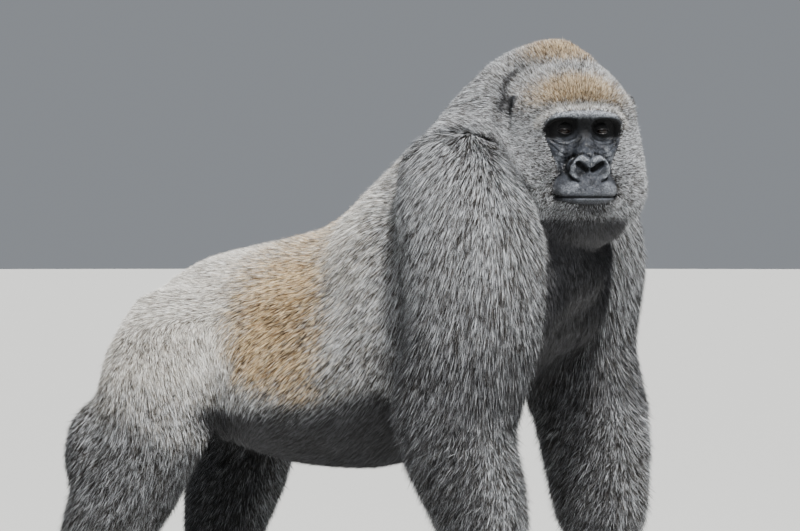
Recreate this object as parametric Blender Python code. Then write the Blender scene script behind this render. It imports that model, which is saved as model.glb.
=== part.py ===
"""A young adult male western lowland gorilla, life size, standing on its knuckles and soles with
its head turned to its right. The animal faces -Y, its left side is +X and the floor is Z = 0.

The body is built as one flesh: rounded forms, each a sphere drawn out along a spine, are fused by a
voxel remesh, smoothed and thinned. Thin slabs then part that flesh into its named pieces. The outer
surface is the tip of the coat. The ears and eyes are pieces of their own, set into the head.
"""

import math

import bmesh
import bpy
from mathutils import Matrix, Vector

# ---- driving dimensions, metres -------------------------------------------------------------
CREST_HEIGHT = 1.13  # top of the crest above the floor; all else is brought to scale with it
CUT = 0.0006  # width of the thin cuts between neighbouring pieces
FIT = 0.0003  # gap between a piece and the hollow it sits in
VOXEL = 0.0045  # grain of the fused flesh
BODY_TRIANGLES = 5200  # what the fused flesh is thinned to
FLOOR_SINK = 0.004  # how far soles and knuckles press below the floor before they are levelled

# The joints, as (across, along, up). Minus across is the animal's right.
ELBOW_HEIGHT = 0.450
WRIST_HEIGHT = 0.150
ANKLE_HEIGHT = 0.112
HIP = Vector((0.115, 0.465, 0.585))
RIGHT_KNEE = Vector((-0.235, 0.400, 0.372))
LEFT_KNEE = Vector((0.230, 0.430, 0.370))
RIGHT_ANKLE = Vector((-0.215, 0.632, 0.105))
LEFT_ANKLE = Vector((0.200, 0.562, 0.105))
RIGHT_HAND = Vector((-0.243, -0.340, 0.0))
LEFT_HAND = Vector((0.243, -0.368, 0.0))

# The head: where it sits, which way it looks and the size of what a face is read by.
HEAD_CENTRE = Vector((-0.036, -0.412, 1.0))  # between the ears, at the height of the eyes
HEAD_TURN = math.radians(-53)  # from straight ahead towards the animal's right
EYE_RADIUS = 0.0120
EYE_SPACING = 0.076
EYE_DEPTH = 0.084  # the eyeball's centre ahead of the head's centre
EAR_ACROSS = 0.1195  # the ear's middle, out from the middle of the head
EAR_AHEAD = -0.008
EAR_UP = 0.050
EAR_HEIGHT = 0.052
EAR_FLARE = math.radians(5)
EAR_LEAN = math.radians(-12)
NAPE_LEAN = math.radians(36)  # lean of the cut between head and neck
NAPE_AHEAD = -0.112
GROIN_HEIGHT = 0.425
HIP_SLOPE = math.radians(40)  # slope of the cut between leg and pelvis


# ---- helpers --------------------------------------------------------------------------------
def blend_stations(stations, share):
    """Values of a chain of stations at a share of its length, on a Catmull-Rom curve."""
    last = len(stations) - 1
    place = min(max(share, 0.0), 1.0) * last
    start = min(int(place), last - 1)
    t = place - start
    before, here, there, after = (
        stations[min(max(start + step, 0), last)] for step in (-1, 0, 1, 2)
    )
    mixed = []
    for a, b, c, d in zip(before, here, there, after):
        bend = (2 * a - 5 * b + 4 * c - d) * t * t + (3 * b - a - 3 * c + d) * t**3
        mixed.append(0.5 * (2 * b + (c - a) * t + bend))
    return mixed


def add_form(flesh, stations, side, way=None, narrow=0.0, fullness=2.3, cap=0.75, around=28, rings=30):
    """Adds one rounded form: a sphere drawn out along a spine of stations.

    A station is (centre, half width, reach over the spine, reach under it). Over is the way that
    the spine's direction crossed with side points: up for a spine that runs ahead, ahead for one
    that runs down. Sections stand square to the spine, or to the given way. narrow draws the over
    side in, and fullness above 2 squares the section.
    """
    chain = [(Vector(centre), wide, over, under) for centre, wide, over, under in stations]
    side = Vector(side)
    cap_share = 0.16
    added = bmesh.ops.create_uvsphere(flesh, u_segments=around, v_segments=rings, radius=1.0)["verts"]
    for vert in added:
        height = math.asin(min(max(vert.co.z, -1.0), 1.0)) / math.pi + 0.5
        turn = math.atan2(vert.co.y, vert.co.x)
        if height < cap_share:
            slant, share, sign = height / cap_share * math.pi / 2, 0.0, -1.0
        elif height > 1 - cap_share:
            slant, share, sign = (1 - height) / cap_share * math.pi / 2, 1.0, 1.0
        else:
            slant, share, sign = math.pi / 2, (height - cap_share) / (1 - 2 * cap_share), 0.0
        centre, wide, over, under = blend_stations(chain, share)
        ahead = blend_stations(chain, share + 0.01)[0] - blend_stations(chain, share - 0.01)[0]
        ahead = Vector(way) if way else ahead.normalized()
        across = (side - side.dot(ahead) * ahead).normalized()
        upward = ahead.cross(across)
        cosine, sine = math.cos(turn), math.sin(turn)
        x = math.copysign(abs(cosine) ** (2 / fullness), cosine)
        y = math.copysign(abs(sine) ** (2 / fullness), sine)
        ring = math.sin(slant)
        push = sign * math.cos(slant) * cap * min(wide, over, under)
        vert.co = (
            centre
            + ahead * push
            + across * (wide * x * ring * (1 - narrow * y))
            + upward * ((over if y > 0 else under) * y * ring)
        )


def add_ball(flesh, centre, radii, turn=None):
    """Adds an ellipsoid, turned by a rotation matrix where one is given."""
    place = Matrix.Translation(centre) @ (turn or Matrix()) @ Matrix.Diagonal((*radii, 1.0))
    bmesh.ops.create_uvsphere(flesh, u_segments=24, v_segments=16, radius=1.0, matrix=place)


def to_object(bm, name):
    mesh = bpy.data.meshes.new(name)
    bm.to_mesh(mesh)
    bm.free()
    obj = bpy.data.objects.new(name, mesh)
    bpy.context.scene.collection.objects.link(obj)
    return obj


def settle(obj):
    """Applies the object's modifiers to its mesh."""
    graph = bpy.context.evaluated_depsgraph_get()
    done = bpy.data.meshes.new_from_object(obj.evaluated_get(graph))
    obj.modifiers.clear()
    obj.data = done


def head_point(left, ahead, up):
    """A place on the head, from its own left, ahead and up, in the body's frame."""
    facing = Vector((math.sin(HEAD_TURN), -math.cos(HEAD_TURN), 0.0))
    leftward = Vector((-facing.y, facing.x, 0.0))
    return HEAD_CENTRE + leftward * left + facing * ahead + Vector((0, 0, up))


def head_matrix():
    """Turns X to the head's left and -Y to where the face looks."""
    return Matrix.Rotation(HEAD_TURN, 4, "Z")


# ---- the body's forms -----------------------------------------------------------------------
def add_trunk(flesh):
    """Slices from the rump to the chest: (along, top, bottom, half width)."""
    slices = (
        (0.592, 0.620, 0.450, 0.110),
        (0.530, 0.692, 0.412, 0.165),
        (0.440, 0.744, 0.375, 0.198),
        (0.340, 0.768, 0.345, 0.215),
        (0.230, 0.789, 0.318, 0.232),
        (0.120, 0.822, 0.306, 0.250),
        (0.020, 0.905, 0.312, 0.264),
        (-0.080, 0.995, 0.345, 0.272),
        (-0.170, 1.050, 0.405, 0.264),
        (-0.260, 1.050, 0.485, 0.236),
        (-0.345, 0.985, 0.560, 0.186),
        (-0.395, 0.900, 0.640, 0.128),
    )
    spine = [
        (Vector((0, along, (top + low) / 2)), half, (top - low) / 2, (top - low) / 2)
        for along, top, low, half in slices
    ]
    add_form(flesh, spine, (1, 0, 0), way=(0, -1, 0), narrow=0.2, fullness=2.3, cap=0.5, around=40, rings=48)


def add_neck(flesh):
    """The thick nape, from between the shoulder blades up to the crest, and the throat below it."""
    nape = (
        ((0.000, -0.060, 0.790), 0.150, 0.108, 0.150),
        ((0.000, -0.170, 0.900), 0.150, 0.135, 0.150),
        ((0.010, -0.268, 1.012), 0.118, 0.140, 0.140),
        ((0.016, -0.335, 1.062), 0.096, 0.130, 0.130),
        ((0.010, -0.385, 1.068), 0.082, 0.118, 0.110),
    )
    add_form(flesh, nape, (1, 0, 0), narrow=0.26, cap=0.6)
    throat = (
        ((0.000, -0.230, 0.800), 0.165, 0.130, 0.120),
        ((-0.010, -0.320, 0.870), 0.140, 0.120, 0.120),
        ((-0.030, -0.385, 0.930), 0.115, 0.110, 0.110),
    )
    add_form(flesh, throat, (1, 0, 0))


def add_shoulders(flesh):
    """Shoulder blades, the slope of muscle from nape to shoulder, breast muscles and flanks."""
    for hand in (-1, 1):
        slope = (
            ((hand * 0.060, -0.190, 0.960), 0.090, 0.085, 0.095),
            ((hand * 0.140, -0.215, 0.915), 0.105, 0.095, 0.105),
            ((hand * 0.205, -0.235, 0.865), 0.115, 0.105, 0.110),
        )
        add_form(flesh, slope, (0.1, -1.0, 0.0), cap=0.9)
        add_ball(flesh, (hand * 0.105, -0.330, 0.700), (0.120, 0.092, 0.150))
        add_ball(flesh, (hand * 0.160, -0.090, 0.690), (0.118, 0.180, 0.200))
        add_ball(flesh, (hand * 0.190, -0.230, 0.600), (0.070, 0.110, 0.150))


def add_arms(flesh):
    """Both arms from shoulder to wrist, as stations that run down: the reach is ahead and behind."""
    right = (
        ((-0.200, -0.222, 0.935), 0.100, 0.105, 0.110),
        ((-0.235, -0.255, 0.855), 0.113, 0.135, 0.130),
        ((-0.250, -0.285, 0.750), 0.116, 0.150, 0.135),
        ((-0.259, -0.296, 0.640), 0.112, 0.145, 0.130),
        ((-0.263, -0.290, 0.545), 0.107, 0.134, 0.136),
        ((-0.260, -0.264, ELBOW_HEIGHT), 0.102, 0.122, 0.134),
        ((-0.254, -0.266, 0.370), 0.098, 0.116, 0.118),
        ((-0.249, -0.296, 0.285), 0.088, 0.106, 0.104),
        ((-0.245, -0.318, 0.205), 0.076, 0.092, 0.094),
        ((-0.243, -0.329, 0.150), 0.060, 0.066, 0.068),
    )
    left = (
        ((0.200, -0.238, 0.935), 0.100, 0.105, 0.110),
        ((0.235, -0.272, 0.855), 0.114, 0.138, 0.130),
        ((0.252, -0.296, 0.750), 0.118, 0.142, 0.135),
        ((0.259, -0.297, 0.640), 0.112, 0.126, 0.128),
        ((0.263, -0.299, 0.545), 0.106, 0.112, 0.122),
        ((0.260, -0.318, ELBOW_HEIGHT), 0.102, 0.118, 0.128),
        ((0.254, -0.334, 0.350), 0.096, 0.118, 0.122),
        ((0.249, -0.342, 0.270), 0.086, 0.109, 0.110),
        ((0.245, -0.352, 0.200), 0.076, 0.102, 0.100),
        ((0.243, -0.357, 0.150), 0.060, 0.068, 0.068),
    )
    for arm in (right, left):
        add_form(flesh, arm, (1, 0, 0), cap=0.7, rings=48)
        elbow = Vector(arm[5][0])
        add_ball(flesh, elbow + Vector((0, 0.088, 0.0)), (0.058, 0.058, 0.058))


def add_hand(flesh, base, hand):
    """A fist set down on the backs of its middle finger bones, with a short thumb on the inner side."""
    palm = (
        (base + Vector((0, 0.012, 0.175)), 0.052, 0.050, 0.048),
        (base + Vector((0, 0.006, 0.130)), 0.052, 0.040, 0.040),
        (base + Vector((0, -0.006, 0.090)), 0.060, 0.033, 0.034),
        (base + Vector((0, -0.016, 0.062)), 0.063, 0.026, 0.028),
    )
    add_form(flesh, palm, (1, 0, 0), cap=0.5)
    add_ball(flesh, base + Vector((0, -0.014, 0.036)), (0.056, 0.030, 0.030))
    for number, thick in enumerate((0.0170, 0.0182, 0.0178, 0.0155)):
        across = hand * (-0.0480 + 0.0320 * number)
        bend = 0.005 * abs(number - 1.3)
        level = thick - FLOOR_SINK
        finger = (
            (base + Vector((across * 0.94, -0.012 + bend, 0.074)), thick, thick, thick),
            (base + Vector((across, -0.044 + bend, 0.048)), thick, thick, thick),
            (base + Vector((across * 1.02, -0.052 + bend, level)), thick, thick, thick * 0.95),
            (base + Vector((across * 1.02, -0.018 + bend, level)), thick, thick, thick),
            (base + Vector((across, 0.014 + bend, thick + 0.003)), *(thick * 0.9,) * 3),
            (base + Vector((across, 0.018 + bend, thick + 0.022)), *(thick * 0.75,) * 3),
        )
        add_form(flesh, finger, (1, 0, 0), cap=0.9, around=14, rings=34)
    thumb = (
        (base + Vector((-hand * 0.044, 0.010, 0.118)), 0.021, 0.021, 0.021),
        (base + Vector((-hand * 0.060, 0.018, 0.086)), 0.0165, 0.0165, 0.0165),
        (base + Vector((-hand * 0.062, 0.020, 0.058)), 0.0135, 0.0135, 0.0135),
    )
    add_form(flesh, thumb, (1, 0, 0), cap=0.9, around=14)


def add_legs(flesh):
    """Buttock, thigh, knee, shank and calf of both legs."""
    for hand, knee, ankle in ((-1, RIGHT_KNEE, RIGHT_ANKLE), (1, LEFT_KNEE, LEFT_ANKLE)):
        hip = Vector((hand * HIP.x, HIP.y, HIP.z))
        thigh = (
            (hip + Vector((-hand * 0.014, 0.000, 0.026)), 0.102, 0.138, 0.112),
            (hip.lerp(knee, 0.18), 0.125, 0.165, 0.135),
            (hip.lerp(knee, 0.50) + Vector((hand * 0.012, 0.020, 0)), 0.120, 0.148, 0.138),
            (hip.lerp(knee, 0.85) + Vector((hand * 0.006, 0.030, 0)), 0.102, 0.114, 0.128),
            (knee + Vector((0, 0.018, -0.018)), 0.088, 0.092, 0.115),
        )
        add_form(flesh, thigh, (1, 0, 0), cap=0.6, rings=36)
        add_ball(flesh, (hand * 0.100, 0.500, 0.556), (0.106, 0.094, 0.116))
        shank = (
            (knee + Vector((0, 0.030, 0.000)), 0.084, 0.094, 0.110),
            (knee.lerp(ankle, 0.30) + Vector((0, 0.026, 0)), 0.086, 0.108, 0.116),
            (knee.lerp(ankle, 0.62) + Vector((0, 0.014, 0)), 0.078, 0.106, 0.108),
            (knee.lerp(ankle, 0.88) + Vector((0, 0.004, 0)), 0.064, 0.098, 0.084),
            (ankle + Vector((0, 0.000, -0.010)), 0.050, 0.070, 0.060),
        )
        add_form(flesh, shank, (1, 0, 0), cap=0.6, rings=36)
        calf = knee.lerp(ankle, 0.36) + Vector((0, 0.092, 0.058))
        add_ball(flesh, calf, (0.074, 0.090, 0.125))


def add_foot(flesh, ankle, hand, splay):
    """A flat-footed grasping foot: heel, sole, four toes and a great toe that stands off inwards."""
    turn = Matrix.Rotation(hand * splay, 3, "Z")

    def spot(across, ahead, up):
        return Vector((ankle.x, ankle.y, up)) + turn @ Vector((hand * across, -ahead, 0))

    side = turn @ Vector((1, 0, 0))
    sole = (
        (spot(0.000, -0.058, 0.040), 0.036, 0.040, 0.044),
        (spot(0.000, -0.012, 0.050), 0.042, 0.056, 0.054),
        (spot(0.000, 0.050, 0.044), 0.047, 0.046, 0.048),
        (spot(0.002, 0.105, 0.032), 0.052, 0.031, 0.036),
        (spot(0.004, 0.145, 0.025), 0.050, 0.022, 0.029),
    )
    add_form(flesh, sole, side, cap=0.8)
    toes = ((0.060, 0.0165), (0.064, 0.0160), (0.057, 0.0150), (0.046, 0.0140))
    for number, (long, thick) in enumerate(toes):
        across = -0.034 + 0.0262 * number
        tip = thick * 0.9
        toe = (
            (spot(across, 0.130, thick + 0.004), thick, thick, thick),
            (spot(across * 1.05, 0.155 + long * 0.35, thick + 0.003), thick, thick, thick),
            (spot(across * 1.08, 0.155 + long * 0.8, thick - FLOOR_SINK), tip, tip, tip),
        )
        add_form(flesh, toe, side, cap=0.9, around=14)
    great_toe = (
        (spot(-0.034, 0.035, 0.032), 0.030, 0.026, 0.028),
        (spot(-0.062, 0.085, 0.024), 0.024, 0.021, 0.024),
        (spot(-0.082, 0.130, 0.0205), 0.021, 0.019, 0.021),
        (spot(-0.090, 0.158, 0.0165), 0.019, 0.017, 0.019),
    )
    add_form(flesh, great_toe, side, cap=0.9, around=16)


def add_level_form(flesh, levels, **shape):
    """Adds a form to the head from level sections: (up, middle ahead, half width, front, back)."""
    leftward = head_point(1, 0, 0) - head_point(0, 0, 0)
    stations = [
        (head_point(0, ahead, up), half, front, back) for up, ahead, half, front, back in reversed(levels)
    ]
    add_form(flesh, stations, leftward, way=(0, 0, -1), **shape)


def add_head(flesh):
    """Skull with its crest, cheek hair, brow bar, muzzle, nose and chin, in the head's own directions."""
    facing = head_point(0, 1, 0) - head_point(0, 0, 0)
    leftward = head_point(1, 0, 0) - head_point(0, 0, 0)
    skull = (
        (-0.195, 0.020, 0.096, 0.074, 0.090),
        (-0.165, 0.018, 0.124, 0.086, 0.100),
        (-0.125, 0.008, 0.140, 0.098, 0.105),
        (-0.080, 0.002, 0.144, 0.096, 0.110),
        (-0.035, 0.000, 0.138, 0.090, 0.112),
        (0.010, 0.000, 0.128, 0.088, 0.114),
        (0.045, -0.004, 0.119, 0.106, 0.110),
        (0.078, -0.014, 0.105, 0.104, 0.100),
        (0.110, -0.030, 0.086, 0.088, 0.084),
        (0.138, -0.048, 0.062, 0.064, 0.060),
    )
    add_level_form(flesh, skull, fullness=2.4, cap=0.45, around=44, rings=48)
    brow = [
        (head_point(left, 0.097 - 4.6 * left * left, 0.031 - 2.2 * left * left), 0.0190, 0.0165, 0.0160)
        for left in (-0.070, -0.047, -0.024, 0.0, 0.024, 0.047, 0.070)
    ]
    add_form(flesh, brow, facing, cap=0.9, around=18)
    muzzle = (
        (-0.198, 0.062, 0.040, 0.052, 0.060),
        (-0.178, 0.070, 0.051, 0.062, 0.060),
        (-0.155, 0.076, 0.060, 0.074, 0.060),
        (-0.128, 0.080, 0.066, 0.082, 0.060),
        (-0.104, 0.078, 0.062, 0.078, 0.060),
        (-0.080, 0.074, 0.050, 0.064, 0.060),
        (-0.058, 0.066, 0.040, 0.046, 0.050),
    )
    add_level_form(flesh, muzzle, fullness=2.35, cap=0.5)
    nose = (
        (head_point(0, 0.082, 0.020), 0.017, 0.020, 0.024),
        (head_point(0, 0.090, -0.014), 0.016, 0.020, 0.024),
        (head_point(0, 0.112, -0.044), 0.024, 0.022, 0.026),
        (head_point(0, 0.128, -0.066), 0.030, 0.024, 0.028),
    )
    add_form(flesh, nose, leftward, cap=0.8)
    for hand in (-1, 1):
        wing = head_point(hand * 0.0230, 0.134, -0.071)
        add_ball(flesh, wing, (0.0190, 0.0220, 0.0235), head_matrix())
        cheekbone = (
            (head_point(hand * 0.076, 0.056, 0.012), 0.018, 0.018, 0.020),
            (head_point(hand * 0.068, 0.068, -0.022), 0.024, 0.020, 0.028),
            (head_point(hand * 0.044, 0.074, -0.040), 0.026, 0.019, 0.032),
            (head_point(hand * 0.022, 0.080, -0.042), 0.024, 0.018, 0.030),
        )
        add_form(flesh, cheekbone, facing, cap=0.8, around=18)
        add_ball(flesh, head_point(hand * 0.082, 0.040, -0.112), (0.058, 0.066, 0.082), head_matrix())


# ---- eyes and ears ---------------------------------------------------------------------------
def make_eye(hand, grow=0.0):
    """An eyeball, or the hollow it sits in where it is grown."""
    bm = bmesh.new()
    place = Matrix.Translation(head_point(hand * EYE_SPACING / 2, EYE_DEPTH, 0.0)) @ head_matrix()
    bmesh.ops.create_uvsphere(bm, u_segments=14, v_segments=8, radius=EYE_RADIUS + grow, matrix=place)
    return to_object(bm, "eye_left" if hand > 0 else "eye_right")


def make_ear(hand, grow=0.0):
    """A small round ear, hollowed on its outer side, or the hollow it sits in where it is grown."""
    bm = bmesh.new()
    bmesh.ops.create_uvsphere(bm, u_segments=14, v_segments=8, radius=1.0)
    thick, long, high = 0.0100, 0.0215, EAR_HEIGHT / 2
    for vert in bm.verts:
        reach = math.hypot(vert.co.y, vert.co.z)
        dent = 0.0 if grow or vert.co.x < 0 else 0.0085 * max(1 - (reach / 0.72) ** 2, 0.0)
        vert.co = Vector(
            (vert.co.x * (thick + grow) - dent, vert.co.y * (long + grow), vert.co.z * (high + grow))
        )
        vert.co.x *= hand
    if hand < 0:
        bmesh.ops.reverse_faces(bm, faces=bm.faces[:])
    flare = Matrix.Rotation(hand * EAR_FLARE, 4, "Z") @ Matrix.Rotation(EAR_LEAN, 4, "X")
    middle = head_point(hand * EAR_ACROSS, EAR_AHEAD, EAR_UP)
    bmesh.ops.transform(bm, verts=bm.verts[:], matrix=Matrix.Translation(middle) @ head_matrix() @ flare)
    return to_object(bm, "ear_left" if hand > 0 else "ear_right")


# ---- parting ---------------------------------------------------------------------------------
def combine(obj, other, operation):
    join = obj.modifiers.new("combine", "BOOLEAN")
    join.operation = operation
    join.solver = "EXACT"
    join.object = other
    settle(obj)
    bpy.data.objects.remove(other)


def twin(obj, name):
    copy = obj.copy()
    copy.data = obj.data.copy()
    copy.name = name
    bpy.context.scene.collection.objects.link(copy)
    return copy


def cell(points, grow=0.0):
    """A convex block round some points, grown on every side, to part flesh with."""
    bm = bmesh.new()
    for point in points:
        bm.verts.new(point)
    bmesh.ops.convex_hull(bm, input=bm.verts[:])
    bmesh.ops.dissolve_limit(bm, angle_limit=0.01, verts=bm.verts[:], edges=bm.edges[:])
    bmesh.ops.recalc_face_normals(bm, faces=bm.faces[:])
    bm.normal_update()
    shifts = [vert.normal * vert.calc_shell_factor() * grow for vert in bm.verts]
    for vert, shift in zip(bm.verts, shifts):
        vert.co += shift
    return to_object(bm, "cell")


def slab(outline, low, high):
    """The corners of a block: an outline of (across, up) points drawn along from low to high."""
    return [Vector((across, along, up)) for across, up in outline for along in (low, high)]


def keep_biggest(obj):
    """Drops the scraps that a cut leaves beside its piece."""
    bm = bmesh.new()
    bm.from_mesh(obj.data)
    left = set(bm.verts)
    groups = []
    while left:
        group = [left.pop()]
        for vert in group:
            near = {edge.other_vert(vert) for edge in vert.link_edges} & left
            left -= near
            group.extend(near)
        groups.append(group)
    groups.sort(key=len)
    for scrap in groups[:-1]:
        bmesh.ops.delete(bm, geom=scrap, context="VERTS")
    bm.to_mesh(obj.data)
    bm.free()


def take(flesh, name, corners):
    """Parts off what a block holds as a piece of its own, and leaves a thin cut round it."""
    piece = twin(flesh, name)
    combine(piece, cell(corners), "INTERSECT")
    combine(flesh, cell(corners, CUT), "DIFFERENCE")
    keep_biggest(piece)
    keep_biggest(flesh)
    return piece


def trim(obj, point, normal):
    """Cuts away what lies on the normal's side of a plane and closes the cut with flat faces."""
    bm = bmesh.new()
    bm.from_mesh(obj.data)
    everything = bm.verts[:] + bm.edges[:] + bm.faces[:]
    cut = bmesh.ops.bisect_plane(
        bm, geom=everything, dist=1e-6, plane_co=point, plane_no=normal, clear_outer=True
    )
    rim = [item for item in cut["geom_cut"] if isinstance(item, bmesh.types.BMEdge)]
    bmesh.ops.triangle_fill(bm, edges=rim, use_beauty=True, normal=normal)
    bmesh.ops.recalc_face_normals(bm, faces=bm.faces[:])
    bm.to_mesh(obj.data)
    bm.free()


def split(flesh, name, point, normal):
    """Parts off what lies on the normal's side of a plane as a piece of its own."""
    normal = Vector(normal).normalized()
    piece = twin(flesh, name)
    trim(piece, Vector(point) + normal * CUT / 2, -normal)
    trim(flesh, Vector(point) - normal * CUT / 2, normal)
    keep_biggest(piece)
    keep_biggest(flesh)
    return piece


def part_head(flesh):
    """The head, in front of a plane that leans from behind the crest to under the chin."""
    corners = []
    for up in (-0.240, 0.30):
        back = NAPE_AHEAD - up * math.tan(NAPE_LEAN)
        outline = ((0.175, back), (0.175, 0.30), (-0.050, 0.30), (-0.158, 0.045), (-0.158, back))
        corners.extend(head_point(across, ahead, up) for across, ahead in outline)
    return take(flesh, "head", corners)


def part_arms(flesh):
    """Each arm, outside a wall beside the chest, then its forearm and hand."""
    for hand, name in ((-1, "right"), (1, "left")):
        outline = ((hand * 0.125, -0.1), (hand * 0.50, -0.1), (hand * 0.50, 1.1), (hand * 0.176, 1.1))
        arm = take(flesh, "upper_arm_" + name, slab(outline, -0.60, -0.128))
        split(arm, "hand_" + name, (0, 0, WRIST_HEIGHT), (0, 0, -1))
        split(arm, "forearm_" + name, (0, 0, ELBOW_HEIGHT), (0, 0, -1))


def part_legs(flesh):
    """Each leg, below a slope from groin to hip, then its shank and foot."""
    for hand, name, knee in ((-1, "right", RIGHT_KNEE), (1, "left", LEFT_KNEE)):
        hip_top = GROIN_HEIGHT + 0.58 * math.tan(HIP_SLOPE)
        outline = (
            (hand * 0.004, -0.1), (hand * 0.60, -0.1), (hand * 0.60, hip_top),
            (hand * 0.020, GROIN_HEIGHT), (hand * 0.004, GROIN_HEIGHT),
        )
        leg = take(flesh, "thigh_" + name, slab(outline, 0.262, 0.95))
        split(leg, "foot_" + name, (0, 0, ANKLE_HEIGHT), (0, 0, -1))
        split(leg, "shank_" + name, knee + Vector((0, -0.07, -0.030)), (0, 0.25, -0.97))


def part_trunk(flesh):
    """Neck, chest, belly and pelvis, from what is left once head and limbs are off."""
    flesh.name = "chest"
    split(flesh, "pelvis", (0, 0.300, 0.55), (0, 1, 0))
    split(flesh, "belly", (0, 0.020, 0.60), (0, 1, 0))
    split(flesh, "neck", (0, -0.185, 0.918), (0, -0.52, 0.85))


def finish_colours():
    """Gives every piece a material of its own, in the colour of its coat or skin."""
    coats = {
        "head": (0.17, 0.13, 0.10), "neck": (0.15, 0.14, 0.13), "chest": (0.10, 0.095, 0.09),
        "belly": (0.27, 0.18, 0.11), "pelvis": (0.24, 0.21, 0.18), "ear": (0.035, 0.035, 0.040),
        "eye": (0.045, 0.022, 0.012), "upper": (0.085, 0.080, 0.075), "forearm": (0.050, 0.046, 0.043),
        "hand": (0.030, 0.030, 0.033), "thigh": (0.20, 0.17, 0.14), "shank": (0.11, 0.10, 0.09),
        "foot": (0.030, 0.030, 0.033),
    }
    for obj in bpy.context.scene.objects:
        kind = obj.name.split("_")[0]
        material = bpy.data.materials.new(obj.name)
        material.use_nodes = True
        shader = material.node_tree.nodes["Principled BSDF"]
        shader.inputs["Base Color"].default_value = (*coats[kind], 1.0)
        shader.inputs["Roughness"].default_value = 0.15 if kind == "eye" else 0.8
        shader.inputs["Metallic"].default_value = 0.0
        obj.data.materials.clear()
        obj.data.materials.append(material)
        obj.data.shade_smooth()
        obj.data.set_sharp_from_angle(angle=math.radians(50))


def settle_frame():
    """Brings the crest to its height and the middle of the footprint to the origin."""
    pieces = list(bpy.context.scene.objects)
    corners = [vert.co for obj in pieces for vert in obj.data.vertices]
    low = Vector([min(corner[axis] for corner in corners) for axis in range(3)])
    high = Vector([max(corner[axis] for corner in corners) for axis in range(3)])
    middle = Vector(((low.x + high.x) / 2, (low.y + high.y) / 2, 0.0))
    place = Matrix.Scale(CREST_HEIGHT / high.z, 4) @ Matrix.Translation(-middle)
    for obj in pieces:
        obj.data.transform(place)


# ---- the whole -------------------------------------------------------------------------------
def clear_scene():
    for obj in list(bpy.data.objects):
        bpy.data.objects.remove(obj)


def fine_share(place):
    """How finely a place on the body is worked, from 0 on the trunk to 1 on the face and hands."""
    face = head_point(0, 0.10, -0.06)
    share = 1.0 - min(max(((place - face).length - 0.13) / 0.07, 0.0), 1.0)
    if place.z < ANKLE_HEIGHT + 0.05:
        share = max(share, 1.0 - min(max((place.z - ANKLE_HEIGHT) / 0.05, 0.0), 1.0))
    return share


def spared_share(place):
    """How far a place is spared from thinning: the face most, the hands less and the feet least."""
    share = 0.78 * fine_share(place)
    if place.z < ANKLE_HEIGHT + 0.05:
        share *= 0.72 if place.y < 0 else 0.55
    return share


def weigh(obj, name, rule):
    """Fills a vertex group with a weight for each place."""
    group = obj.vertex_groups.new(name=name)
    for vert in obj.data.vertices:
        group.add([vert.index], rule(vert.co), "REPLACE")


def fuse(flesh):
    """One closed skin round all the forms, smoothed, thinned and levelled at the floor."""
    obj = to_object(flesh, "flesh")
    remesh = obj.modifiers.new("fuse", "REMESH")
    remesh.mode = "VOXEL"
    remesh.voxel_size = VOXEL
    settle(obj)
    weigh(obj, "broad", lambda place: 1.0 - fine_share(place))
    melt = obj.modifiers.new("melt", "SMOOTH")
    melt.factor = 0.5
    melt.iterations = 90
    melt.vertex_group = "broad"
    soften = obj.modifiers.new("soften", "SMOOTH")
    soften.factor = 0.5
    soften.iterations = 4
    settle(obj)
    weigh(obj, "sparing", lambda place: 1.0 - spared_share(place))
    thin = obj.modifiers.new("thin", "DECIMATE")
    thin.ratio = BODY_TRIANGLES / (2 * len(obj.data.polygons))
    thin.vertex_group = "sparing"
    settle(obj)
    obj.vertex_groups.clear()
    trim(obj, Vector((0, 0, 0)), Vector((0, 0, -1)))
    return obj


def main():
    clear_scene()
    flesh = bmesh.new()
    add_trunk(flesh)
    add_neck(flesh)
    add_shoulders(flesh)
    add_arms(flesh)
    add_hand(flesh, RIGHT_HAND, -1)
    add_hand(flesh, LEFT_HAND, 1)
    add_legs(flesh)
    add_foot(flesh, RIGHT_ANKLE, -1, math.radians(-12))
    add_foot(flesh, LEFT_ANKLE, 1, math.radians(-10))
    add_head(flesh)
    body = fuse(flesh)
    for hand in (-1, 1):
        combine(body, make_ear(hand, FIT), "DIFFERENCE")
        combine(body, make_eye(hand, FIT), "DIFFERENCE")
    part_head(body)
    part_arms(body)
    part_legs(body)
    part_trunk(body)
    for hand in (-1, 1):
        make_ear(hand)
        make_eye(hand)
    settle_frame()
    finish_colours()


if __name__ == "__main__":
    main()
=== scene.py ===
from math import cos, pi, radians, sin
import bmesh
import bpy
import numpy as np
from mathutils import Matrix, Vector, noise
from mathutils.bvhtree import BVHTree
from mathutils.kdtree import KDTree


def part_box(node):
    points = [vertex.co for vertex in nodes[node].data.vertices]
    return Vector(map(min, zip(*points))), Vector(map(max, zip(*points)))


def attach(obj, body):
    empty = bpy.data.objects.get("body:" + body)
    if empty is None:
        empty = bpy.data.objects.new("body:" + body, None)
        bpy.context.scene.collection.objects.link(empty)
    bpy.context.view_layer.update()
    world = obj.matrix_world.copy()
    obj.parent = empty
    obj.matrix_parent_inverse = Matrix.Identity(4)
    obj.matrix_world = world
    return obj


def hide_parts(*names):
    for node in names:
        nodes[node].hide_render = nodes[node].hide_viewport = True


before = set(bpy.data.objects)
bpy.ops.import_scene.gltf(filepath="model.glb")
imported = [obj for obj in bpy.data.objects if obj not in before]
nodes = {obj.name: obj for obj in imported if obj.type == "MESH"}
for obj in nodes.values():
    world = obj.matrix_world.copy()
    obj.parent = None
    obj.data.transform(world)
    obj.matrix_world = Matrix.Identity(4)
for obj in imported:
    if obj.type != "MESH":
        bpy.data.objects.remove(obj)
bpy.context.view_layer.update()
mm = 0.001  # lengths are metres everywhere; face shapes are given in millimetres of the head's own frame


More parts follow.
